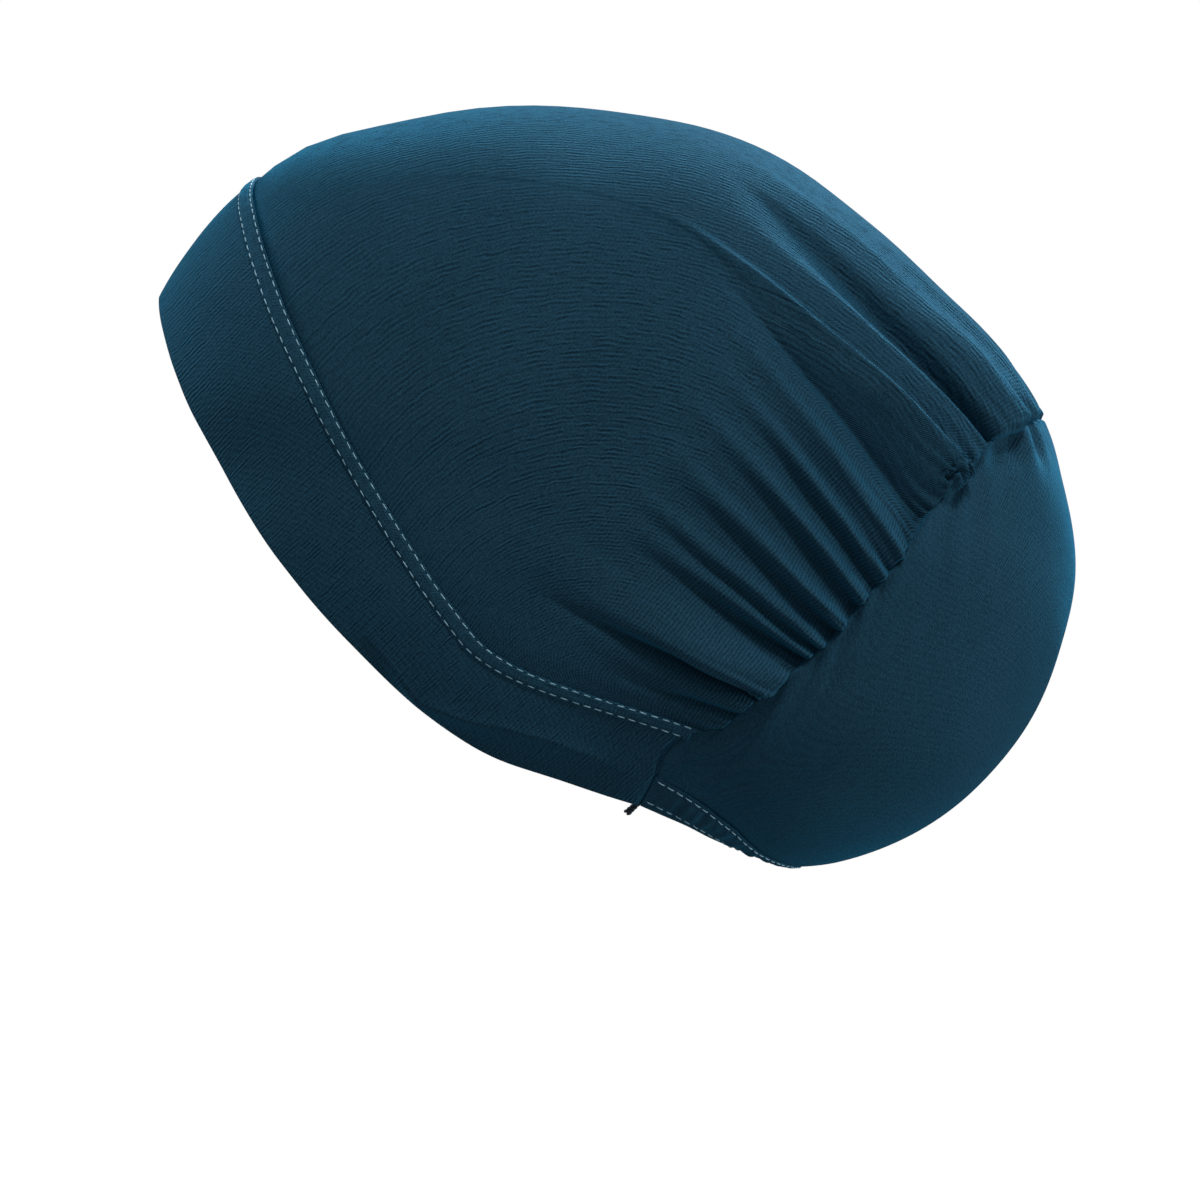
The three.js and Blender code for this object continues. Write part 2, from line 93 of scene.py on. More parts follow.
NAPE_EDGE = (
    (33.0, -207.4), (38.0, -209.7), (47.0, -214.0), (54.0, -218.3), (60.0, -221.8),
    (66.0, -224.4), (72.0, -226.6),
)
SIDE_SEAM = ((48.0, -185.5), (43.0, -188.5), (39.0, -193.5), (37.5, -198.7), (33.0, -207.4))
SIDE_SEAM_AT_CASING = 3
# Share of a panel's length over which its end's bend to the side seam dies out
SIDE_FADE = 0.12


class Fold(Enum):
    """Columns of the table of folds."""

    AT = 0
    HEIGHT = 1
    START = 2
    TILT = 3
    FULLNESS = 4


# Folds of the near half along the gathered seam: place as a share of the seam, how far each
# stands out, where it starts between the front seam and the gathers, how far it leans and how
# full its sides are, 1 being straight
FOLDS = (
    (0.007, 0.8, 0.42, 0.0, 1.20),
    (0.014, -1.8, 0.42, 0.0, 1.00),
    (0.026, 1.6, 0.42, -0.4, 1.30),
    (0.033, 0.0, 0.44, 0.0, 1.00),
    (0.041, -3.4, 0.32, 0.0, 1.00),
    (0.056, 4.0, 0.28, -2.6, 2.00),
    (0.076, -1.0, 0.50, 0.0, 1.00),
    (0.086, -4.2, 0.50, 0.0, 1.00),
    (0.094, 1.2, 0.46, -0.5, 1.20),
    (0.100, -2.6, 0.48, 0.0, 1.00),
    (0.107, 2.2, 0.42, -0.5, 1.30),
    (0.113, -1.6, 0.46, 0.0, 1.00),
    (0.121, -3.2, 0.52, 0.0, 1.00),
    (0.130, 2.6, 0.44, -0.6, 1.30),
    (0.137, -1.8, 0.46, 0.0, 1.00),
    (0.149, -3.2, 0.56, 0.0, 1.00),
    (0.157, 2.4, 0.46, -0.6, 1.30),
    (0.163, -1.4, 0.48, 0.0, 1.00),
    (0.172, -3.0, 0.54, 0.0, 1.00),
    (0.181, 2.0, 0.48, -0.5, 1.30),
    (0.187, -1.4, 0.52, 0.0, 1.00),
    (0.196, 0.2, 0.60, 0.0, 1.00),
    (0.206, 2.0, 0.46, -0.8, 1.30),
    (0.216, -1.4, 0.50, 0.0, 1.00),
    (0.240, -4.2, 0.46, 0.0, 1.00),
    (0.292, 5.4, 0.38, 1.2, 1.10),
    (0.299, 0.8, 0.46, 0.0, 1.00),
    (0.319, 3.2, 0.48, 1.2, 1.40),
    (0.327, -3.2, 0.50, 0.0, 1.00),
    (0.339, -5.4, 0.48, 0.0, 1.00),
    (0.349, 2.6, 0.48, -1.4, 1.50),
    (0.369, 5.6, 0.46, 1.0, 1.20),
    (0.380, 2.4, 0.50, 0.0, 1.00),
    (0.398, 2.2, 0.54, 0.0, 1.00),
    (0.409, 3.4, 0.56, 0.8, 1.20),
    (0.416, 0.2, 0.58, 0.0, 1.00),
    (0.431, 1.1, 0.62, 0.5, 1.20),
    (0.439, -0.8, 0.62, 0.0, 1.00),
    (0.452, -0.6, 0.64, 0.0, 1.00),
    (0.461, 0.4, 0.60, -0.4, 1.30),
    (0.470, -1.5, 0.64, 0.0, 1.00),
    (0.488, -0.2, 0.66, 0.3, 1.20),
)
MIDDLE_FOLD = (0.5, -1.9, 0.70, 0.0, 1.0)
FOLD_FULL = 0.92
# Where the folds run: share of the gathered seam that they end at, the (y, z) place where
# they start on the near side, and share of the front seam that the cloth comes from
FOLD_GUIDES = (
    (0.0, 52.5, -184.8, 0.0),
    (0.01, 30.0, -172.5, 0.05),
    (0.02, 22.0, -165.0, 0.09),
    (0.03, 17.0, -157.0, 0.125),
    (0.043, 14.0, -149.5, 0.165),
    (0.06, 12.6, -139.5, 0.21),
    (0.1, 26.1, -116.8, 0.285),
    (0.13, 34.4, -97.9, 0.32),
    (0.16, 43.0, -82.0, 0.35),
    (0.19, 49.0, -67.0, 0.375),
    (0.25, 50.0, -44.0, 0.41),
    (0.3, 50.0, -38.0, 0.434),
    (0.35, 55.5, -17.0, 0.456),
    (0.4, 56.5, -10.0, 0.474),
    (0.45, 57.0, -6.2, 0.488),
    (0.5, 56.0, -5.5, 0.5),
)
FOLD_START = 0.45
# Centre line across the head that the ribs of the crown circle, as (y, z)
RIB_CENTRE = (20.0, -188.0)
# Crease of the band's turned edge: share in from the side seam and share down the band
BAND_CREASE = (
    (0.0, 0.66), (0.026, 0.65), (0.069, 0.6), (0.095, 0.64), (0.115, 0.78),
    (0.133, 0.88), (0.147, 0.97), (0.162, 0.9), (0.174, 0.85), (0.21, 0.8),
)


def smooth(x: Array) -> Array:
    """Returns x eased from 0 to 1 and held there outside that range."""
    share = np.clip(x, 0.0, 1.0)
    return share * share * (3.0 - 2.0 * share)


def unit(vectors: Array) -> Array:
    """Returns the vectors at length one."""
    return vectors / np.maximum(np.linalg.norm(vectors, axis=-1, keepdims=True), 1e-12)


def hermite(start: Array, end: Array, leave: Array, arrive: Array, share: Array) -> Array:
    """Goes smoothly from one value to the next.

    Args:
        start: the value at the start.
        end: the value at the end.
        leave: the slope at the start.
        arrive: the slope at the end.
        share: how far along, from 0 to 1.

    Returns:
        The value there.
    """
    bend = 2.0 * start - 2.0 * end + leave + arrive
    curve = -3.0 * start + 3.0 * end - 2.0 * leave - arrive
    return ((bend * share + curve) * share + leave) * share + start


def through(places: Array, values: Array, where: Array) -> Array:
    """Runs a smooth line through the rows of a table.

    Args:
        places: the rows' places, rising.
        values: the rows' values, one or several to a row.
        where: the places to read.

    Returns:
        The values there.
    """
    slopes = np.gradient(values, places, axis=0)
    row = np.clip(np.searchsorted(places, where, side="right") - 1, 0, len(places) - 2)
    step = places[row + 1] - places[row]
    share = (where - places[row]) / step
    if values.ndim > 1:
        step, share = step[..., None], share[..., None]
    return hermite(values[row], values[row + 1], slopes[row] * step, slopes[row + 1] * step, share)


def ripple(x: Array, y: Array, seed: int, waves: int = 7) -> Array:
    """Gives smooth unevenness, the same on each run.

    Args:
        x: first coordinate, where 1 is about one wave.
        y: second coordinate, on the same scale.
        seed: picks the pattern.
        waves: how many waves are laid over each other.

    Returns:
        Values mostly between -1 and 1.
    """
    draw = np.random.default_rng(seed)
    total = np.zeros(np.broadcast(x, y).shape)
    for _ in range(waves):
        turn = draw.uniform(0.0, 2.0 * math.pi)
        pitch = 2.0 * math.pi * draw.uniform(0.6, 1.4)
        phase = draw.uniform(0.0, 2.0 * math.pi)
        total += np.sin(pitch * (math.cos(turn) * x + math.sin(turn) * y) + phase)
    return total * math.sqrt(2.0 / waves) / 1.6


def softened(values: Array, passes: int) -> Array:
    """Rounds off sharp changes from row to row of a grid.

    Args:
        values: the grid.
        passes: how often each value is mixed with its neighbours.

    Returns:
        The softened grid.
    """
    for _ in range(passes):
        padded = np.pad(values, ((1, 1), (0, 0)), mode="edge")
        values = 0.25 * padded[:-2] + 0.5 * values + 0.25 * padded[2:]
    return values


def rounded_edge(distance: Array, reach: Array | float) -> Array:
    """Rises like a quarter circle from an edge.

    Args:
        distance: how far in from the edge.
        reach: how far in the rise ends.

    Returns:
        The rise, from 0 at the edge to 1.
    """
    return np.sqrt(1.0 - (1.0 - np.clip(distance / reach, 0.0, 1.0)) ** 2)


@dataclass(frozen=True)
class HeadForm:
    """The rounded body that the cloth lies on."""

    centre: tuple[float, float, float] = (0.0, 27.0, -111.0)
    half_width: float = 80.0
    fullness: float = 2.35

    def reach(self, angle: Array) -> Array:
        """Returns the outline's distance from the centre at each angle in degrees."""
        table = np.array(REACH)
        place = (angle + 360.0) / REACH_STEP
        row = np.floor(place).astype(int)
        before, start, end, after = (table[(row + k) % len(table)] for k in (-1, 0, 1, 2))
        return hermite(start, end, (end - before) / 2.0, (after - start) / 2.0, place - row)

    def radius(self, directions: Array) -> Array:
        """Returns the form's distance from its centre along unit directions."""
        across = np.abs(directions[..., 0]) / self.half_width
        angle = np.degrees(np.arctan2(directions[..., 2], directions[..., 1]))
        along = np.hypot(directions[..., 1], directions[..., 2]) / self.reach(angle)
        return (across**self.fullness + along**self.fullness) ** (-1.0 / self.fullness)

    def project(self, points: Array) -> Array:
        """Returns the points moved onto the form, straight out from its centre."""
        centre = np.array(self.centre)
        directions = unit(points - centre)
        return centre + directions * self.radius(directions)[..., None]

    def normals(self, points: Array) -> Array:
        """Returns the form's outward normals at points on it."""
        step = 0.5
        centre = np.array(self.centre)
        slopes = []
        for axis in np.eye(3) * step:
            levels = []
            for offset in (points + axis - centre, points - axis - centre):
                levels.append(np.linalg.norm(offset, axis=-1) / self.radius(unit(offset)))
            slopes.append(levels[0] - levels[1])
        return unit(np.stack(slopes, axis=-1))

    def side_depth(self, y: float, z: float) -> float:
        """Returns how far out on the near side the form lies at a place of the side view."""
        up, back = z - self.centre[2], y - self.centre[1]
        along = math.hypot(back, up) / float(self.reach(np.degrees(np.arctan2(up, back))))
        return self.half_width * max(0.0, 1.0 - along**self.fullness) ** (1.0 / self.fullness)

    def between(self, start: Array, end: Array, share: Array) -> Array:
        """Goes over the form from one point to another.

        Args:
            start: points on the form.
            end: as many points on the form.
            share: how far along each way, from 0 to 1.

        Returns:
            Points on the form.
        """
        centre = np.array(self.centre)
        first, last = unit(start - centre), unit(end - centre)
        spread = np.arccos(np.clip(np.sum(first * last, axis=-1), -1.0, 1.0))
        spread = np.maximum(spread, 1e-6)[..., None]
        share = np.asarray(share)[..., None]
        ways = np.sin((1.0 - share) * spread) * first + np.sin(share * spread) * last
        return self.project(centre + ways)


FORM = HeadForm()


class FormLine:
    """A seam or an edge that runs over the form."""

    def __init__(self, rows: Sequence[tuple[float, float]], mirrored: bool = True) -> None:
        """Lays the line.

        Args:
            rows: its (y, z) places on the near side.
            mirrored: whether it goes on down the far side as its mirror image.
        """
        points = np.array([(FORM.side_depth(y, z), y, z) for y, z in rows])
        if mirrored:
            points[-1, 0] = 0.0
            points = np.concatenate([points, points[-2::-1] * (-1.0, 1.0, 1.0)])
        self.points = FORM.project(self._rounded(points))
        steps = np.linalg.norm(np.diff(self.points, axis=0), axis=1)
        self.run = np.concatenate([[0.0], np.cumsum(steps)])
        self.length = float(self.run[-1])

    @staticmethod
    def _rounded(points: Array, per_span: int = 60) -> Array:
        """Returns a fine smooth line through the points, with no overshoot at short spans."""
        ends = [2.0 * points[0] - points[1], 2.0 * points[-1] - points[-2]]
        chain = np.concatenate([[ends[0]], points, [ends[1]]])
        share = np.linspace(0.0, 1.0, per_span, endpoint=False)[:, None]
        line = []
        for before, start, end, after in zip(chain, chain[1:], chain[2:], chain[3:]):
            pairs = ((before, start), (start, end), (end, after))
            gaps = [np.linalg.norm(b - a) ** 0.5 for a, b in pairs]
            leave = (start - before) / gaps[0] - (end - before) / (gaps[0] + gaps[1])
            leave = (leave + (end - start) / gaps[1]) * gaps[1]
            arrive = (end - start) / gaps[1] - (after - start) / (gaps[1] + gaps[2])
            arrive = (arrive + (after - end) / gaps[2]) * gaps[1]
            line.append(hermite(start, end, leave, arrive, share))
        return np.concatenate([*line, points[-1:]])

    def at(self, share: Array) -> Array:
        """Returns the points at shares of the line's length."""
        place = np.asarray(share) * self.length
        return np.stack([np.interp(place, self.run, self.points[:, k]) for k in range(3)], axis=-1)


@dataclass(frozen=True)
class Seams:
    """Every seam and edge of the cap."""

    front: FormLine = FormLine(FRONT_SEAM)
    gathers: FormLine = FormLine(GATHERED_SEAM)
    face: FormLine = FormLine(FACE_EDGE)
    casing: FormLine = FormLine(CASING_SEAM)
    nape: FormLine = FormLine(NAPE_EDGE)
    band_end: FormLine = FormLine(SIDE_SEAM, mirrored=False)
    back_end: FormLine = FormLine(SIDE_SEAM[: SIDE_SEAM_AT_CASING + 1], mirrored=False)
    casing_end: FormLine = FormLine(SIDE_SEAM[SIDE_SEAM_AT_CASING:], mirrored=False)

    def back_top(self, share: Array) -> Array:
        """Returns the back panel's upper edge: a crown corner, the gathers, the other corner."""
        starts = self.front.at(np.array([0.0, 1.0]))
        ends = self.gathers.at(np.array([0.0, 1.0]))
        corner = float(np.linalg.norm(starts[0] - ends[0]))
        run = np.asarray(share) * (self.gathers.length + 2.0 * corner) - corner
        along = self.gathers.at(np.clip(run / self.gathers.length, 0.0, 1.0))
        shape = along.shape
        near = FORM.between(np.broadcast_to(ends[0], shape), np.broadcast_to(starts[0], shape),
                            np.clip(-run / corner, 0.0, 1.0))
        past = np.clip((run - self.gathers.length) / corner, 0.0, 1.0)
        far = FORM.between(np.broadcast_to(ends[1], shape), np.broadcast_to(starts[1], shape), past)
        return np.where(run[..., None] < 0.0, near, np.where(past[..., None] > 0.0, far, along))


SEAMS = Seams()


class Shading:
    """A new material whose nodes are written as sums."""

    def __init__(self, name: str, roughness: float, specular: float) -> None:
        """Starts the material with its gloss."""
        self.material = bpy.data.materials.new(name)
        self.material.use_nodes = True
        tree = self.material.node_tree
        self.nodes, self.links = tree.nodes, tree.links
        self.shader = self.nodes["Principled BSDF"]
        self.shader.inputs["Roughness"].default_value = roughness
        self.shader.inputs["Specular IOR Level"].default_value = specular
        self.place = self.nodes.new("ShaderNodeTexCoord").outputs["Object"]

    def sheen(self, weight: float, tint: tuple[float, float, float]) -> None:
        """Gives the surface short fibres that catch light from the side."""
        self.shader.inputs["Sheen Weight"].default_value = weight
        self.shader.inputs["Sheen Roughness"].default_value = 0.5
        self.shader.inputs["Sheen Tint"].default_value = (*tint, 1.0)

    def maths(self, operation: str, *values: float | bpy.types.NodeSocket) -> bpy.types.NodeSocket:
        """Adds a Math node.

        Args:
            operation: its name.
            *values: its inputs in order, as numbers or sockets.

        Returns:
            Its output.
        """
        node = self.nodes.new("ShaderNodeMath")
        node.operation = operation
        for socket, value in zip(node.inputs, values):
            if isinstance(value, bpy.types.NodeSocket):
                self.links.new(value, socket)
            else:
                socket.default_value = value
        return node.outputs[0]

    def wave(self, place: bpy.types.NodeSocket, pitch: float) -> bpy.types.NodeSocket:
        """Returns a sine of the place, with its pitch in millimetres."""
        return self.maths("SINE", self.maths("MULTIPLY", place, 2.0 * math.pi / (pitch * MM)))

    def noise(self, scale: float, detail: float,
              vector: bpy.types.NodeSocket | None = None) -> bpy.types.NodeSocket:
        """Adds a noise that runs from about -0.5 to 0.5.

        Args:
            scale: features for each metre.
            detail: how many finer layers it has.
            vector: where it is read, or None for Object coordinates.

        Returns:
            Its value.
        """
        node = self.nodes.new("ShaderNodeTexNoise")
        node.inputs["Scale"].default_value = scale
        node.inputs["Detail"].default_value = detail
        self.links.new(vector or self.place, node.inputs["Vector"])
        return self.maths("SUBTRACT", node.outputs["Fac"], 0.5)

    def tone(self, level: bpy.types.NodeSocket, colour: tuple[float, float, float],
             spread: float) -> None:
        """Colours the surface.

        Args:
            level: shade, from -0.5 for the darkest to 0.5 for the lightest.
            colour: the middle colour.
            spread: how much darker and lighter the ends are.
        """
        ramp = self.nodes.new("ShaderNodeValToRGB")
        for end, share in zip(ramp.color_ramp.elements, (1.0 - spread, 1.0 + spread)):
            end.color = (*[channel * share for channel in colour], 1.0)
        self.links.new(self.maths("ADD", level, 0.5), ramp.inputs[0])
        self.links.new(ramp.outputs[0], self.shader.inputs["Base Color"])

    def relief(self, height: bpy.types.NodeSocket, depth: float) -> None:
        """Raises the surface by a height times a depth in millimetres."""
        bump = self.nodes.new("ShaderNodeBump")
        bump.inputs["Distance"].default_value = depth * MM
        self.links.new(height, bump.inputs["Height"])
        self.links.new(bump.outputs[0], self.shader.inputs["Normal"])


@dataclass(frozen=True)
class JerseyFinish:
    """Fine single jersey: ribs and courses of loops, stray fibres and a soft sheen."""

    name: str
    colour: tuple[float, float, float]
    rib: float = 1.05
    course: float = 1.15
    rib_relief: float = 0.09
    fuzz_relief: float = 0.09
    courses_from: float = 900.0
    courses_to: float = 901.0
    roughness: float = 0.9
    specular: float = 0.03
    sheen: float = 0.4
    sheen_tint: tuple[float, float, float] = (0.0, 0.36, 0.7)
    rib_wander: float = 1.5
    wander_scale: float = 150.0
    course_drift: float = 1.3
    drift_scale: float = 210.0
    dash_scale: tuple[float, float, float] = (650.0, 210.0, 1.0)
    dash_contrast: float = 5.0
    dash_level: float = 0.6
    fuzz_scale: float = 1700.0
    patch_scale: float = 24.0
    fuzz_shade: float = 1.7
    # Painted shade: how much darker the knit's valleys are coloured than its crests
    knit_valley_painted_shade: float = 0.3
    patch_shade: float = 0.3
    ribs_lost: float = 0.7
    courses_gained: float = 0.75
    spread: float = 0.45

    def material(self) -> bpy.types.Material:
        """Returns the node material, which follows the piece's own UV map in metres."""
        made = Shading(self.name, self.roughness, self.specular)
        made.sheen(self.sheen, self.sheen_tint)
        flat = made.nodes.new("ShaderNodeUVMap")
        flat.uv_map = "UVMap"
        split = made.nodes.new("ShaderNodeSeparateXYZ")
        made.links.new(flat.outputs[0], split.inputs[0])
        across, along = split.outputs[0], split.outputs[1]

        wander = made.maths("MULTIPLY", made.noise(self.wander_scale, 2.0), self.rib_wander * MM)
        rib = made.wave(made.maths("ADD", across, wander), self.rib)
        drift = made.maths("MULTIPLY", made.noise(self.drift_scale, 2.0), self.course_drift * MM)
        course = made.wave(made.maths("ADD", along, drift), self.course)
        far = made.maths("SUBTRACT", along, self.courses_from * MM)
        turned = made.maths("DIVIDE", far, (self.courses_to - self.courses_from) * MM)
        turned.node.use_clamp = True
        stretch = made.nodes.new("ShaderNodeMapping")
        stretch.inputs["Scale"].default_value = self.dash_scale
        made.links.new(flat.outputs[0], stretch.inputs["Vector"])
        dashes = made.maths("MULTIPLY_ADD", made.noise(1.0, 1.0, stretch.outputs[0]),
                            self.dash_contrast, self.dash_level)
        ribs_left = made.maths("SUBTRACT", 1.0, made.maths("MULTIPLY", turned, self.ribs_lost))
        ribs = made.maths("MULTIPLY", made.maths("MULTIPLY", rib, dashes), ribs_left)
        courses_left = made.maths("MULTIPLY_ADD", turned, self.courses_gained,
                                  1.0 - self.courses_gained)
        courses = made.maths("MULTIPLY", course, courses_left)
        knit = made.maths("ADD", ribs, courses)
        fuzz = made.noise(self.fuzz_scale, 3.0)
        patch = made.noise(self.patch_scale, 3.0)
        height = made.maths("MULTIPLY_ADD", fuzz, 2.0 * self.fuzz_relief / self.rib_relief, knit)
        made.relief(height, self.rib_relief)
        # Colour is lighter on the crests of the ribs and courses and darker in their valleys. This is
        # painted shade that follows the knit's relief. The fuzz and patch terms are random tone.
        shade = made.maths("MULTIPLY_ADD", fuzz, self.fuzz_shade,
                           made.maths("MULTIPLY", knit, self.knit_valley_painted_shade))
        shade = made.maths("MULTIPLY_ADD", patch, self.patch_shade, shade)
        made.tone(shade, self.colour, self.spread)
        return made.material


@dataclass(frozen=True)
class ThreadFinish:
    """Spun polyester thread with a slight gloss and a twist along it."""

    name: str
    colour: tuple[float, float, float]
    roughness: float = 0.5
    specular: float = 0.4
    sheen: float = 0.2
    sheen_tint: tuple[float, float, float] = (0.6, 0.8, 0.9)
    twist_scale: float = 2500.0
    twist_relief: float = 0.12
    spread: float = 0.3

    def material(self) -> bpy.types.Material:
        """Returns the node material, which reads Object coordinates."""
        made = Shading(self.name, self.roughness, self.specular)
        made.sheen(self.sheen, self.sheen_tint)
        twist = made.noise(self.twist_scale, 2.0)
        made.tone(twist, self.colour, self.spread)
        made.relief(twist, self.twist_relief)
        return made.material


class Held(Enum):
    """How a sheet of cloth is held."""

    STRETCHED = "stretched"
    GATHERED = "gathered"


def only(piece: bpy.types.Object) -> None:
    """Selects one object alone and makes it active."""
    bpy.ops.object.select_all(action="DESELECT")
    piece.select_set(True)
    bpy.context.view_layer.objects.active = piece


def apply_modifier(piece: bpy.types.Object, kind: str, **settings: object) -> None:
    """Adds a modifier, sets it and applies it.

    Args:
        piece: the object that takes it.
        kind: the modifier's type, such as SOLIDIFY.
        **settings: its properties by name.
    """
    only(piece)
    modifier = piece.modifiers.new(kind.lower(), kind)
    for key, value in settings.items():
        setattr(modifier, key, value)
    bpy.ops.object.modifier_apply(modifier=modifier.name)


def cloth_grid(name: str, points: Array, flat: Array) -> bpy.types.Object:
    """Makes an open cloth surface from a grid primitive.

    Args:
        name: the piece's name.
        points: columns by rows by xyz, in millimetres.
        flat: columns by rows by uv, the lie of the knit in millimetres.

    Returns:
        The object, with faces outward and a UV map in metres.
    """
    columns, rows = points.shape[:2]
    bpy.ops.object.select_all(action="DESELECT")
    bpy.ops.mesh.primitive_grid_add(x_subdivisions=columns - 1, y_subdivisions=rows - 1, size=0.1)
    piece = bpy.context.object
    piece.name = name
    mesh = piece.data
    mesh.name = name
    places = np.swapaxes(points, 0, 1).reshape(-1, 3) * MM
    mesh.vertices.foreach_set("co", places.ravel())
    corners = np.empty(len(mesh.loops), dtype=np.int32)
    mesh.loops.foreach_get("vertex_index", corners)
    layout = np.swapaxes(flat, 0, 1).reshape(-1, 2)[corners] * MM
    mesh.uv_layers[0].name = "UVMap"
    mesh.uv_layers[0].data.foreach_set("uv", layout.ravel())
    mesh.update()
    middle = mesh.polygons[len(mesh.polygons) // 2]
    outward = np.array(middle.center) - np.array(FORM.centre) * MM
    if float(np.dot(outward, np.array(middle.normal))) < 0.0:
        mesh.flip_normals()
    return piece


@dataclass
class ClothPanel:
    """A piece of the cap cut from jersey."""

    name: str
    node: str
    slot: str
    cloth: float
    columns: int
    rows: int
    finish: JerseyFinish
    flat: tuple[float, float] = (0.0, 0.0)
    cut_share: float = 1.0
    held: Held = Held.STRETCHED
    edge_round: float = 0.0

    def surface(self) -> tuple[Array, Array]:
        """Returns the outer face as a grid of points, and the lie of its knit."""
        raise NotImplementedError

    def build(self) -> bpy.types.Object:
        """Makes the piece, gives it its wall and dresses it.

        Returns:
            The finished object.
        """
        points, flat = self.surface()
        piece = cloth_grid(self.name, points, flat)
        apply_modifier(piece, "SOLIDIFY", thickness=self.cloth * MM, offset=-1.0,
                       use_even_offset=False)
        if self.edge_round:
            apply_modifier(piece, "BEVEL", width=self.edge_round * MM, segments=3,
                           limit_method="ANGLE", angle_limit=math.radians(62.0))
        only(piece)
        bpy.ops.object.shade_smooth()
        piece.data.materials.clear()
        piece.data.materials.append(self.finish.material())
        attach(piece, BODY)
        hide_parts(self.node)
        LOG.info("%s: %d faces", piece.name, len(piece.data.polygons))
        return piece

    def declare(self, piece: bpy.types.Object, trims: Sequence[bpy.types.Object] = ()) -> None:
        """Does nothing; the size that the cloth was cut to is not stated.

        Args:
            piece: the panel; not used.
            trims: the pieces sewn on it; not used.
        """


def side_bow(line: Callable[[Array], Array], lower: FormLine, end: FormLine,
             along: Array, down: Array) -> Array:
    """Lays a panel between two lines and bends its ends to the side seam.

    Args:
        line: gives the upper line's points.
        lower: the lower line.
        end: the end that the side seam gives, on the near side.
        along: shares along the panel.
        down: shares from the upper to the lower line.

    Returns:
        Points on the form.
    """
    points = FORM.between(line(along), lower.at(along), down)
    corners = np.zeros_like(down)
    straight = FORM.between(line(corners), lower.at(corners), down)
    bow = end.at(down) - straight
    bow = np.where((along > 0.5)[..., None], bow * (-1.0, 1.0, 1.0), bow)
    near = np.clip(1.0 - np.minimum(along, 1.0 - along) / SIDE_FADE, 0.0, 1.0) ** 2
    return FORM.project(points + bow * near[..., None])


def grid_shares(columns: int, rows: int, ease: float = 1.0,
                lead: float = 1.0) -> tuple[Array, Array]:
    """Spreads shares over a panel.

    Args:
        columns: how many along it.
        rows: how many down it.
        ease: over 1 brings the last rows together.
        lead: over 1 brings the first rows together.

    Returns:
        The shares along and down, columns by rows.
    """
    down = 1.0 - (1.0 - np.linspace(0.0, 1.0, rows) ** lead) ** ease
    return np.meshgrid(np.linspace(0.0, 1.0, columns), down, indexing="ij")


def run_down(points: Array) -> Array:
    """Returns how far down its column each point lies, in millimetres."""
    steps = np.linalg.norm(np.diff(points, axis=1), axis=-1)
    return np.concatenate([np.zeros((len(points), 1)), np.cumsum(steps, axis=1)], axis=1)


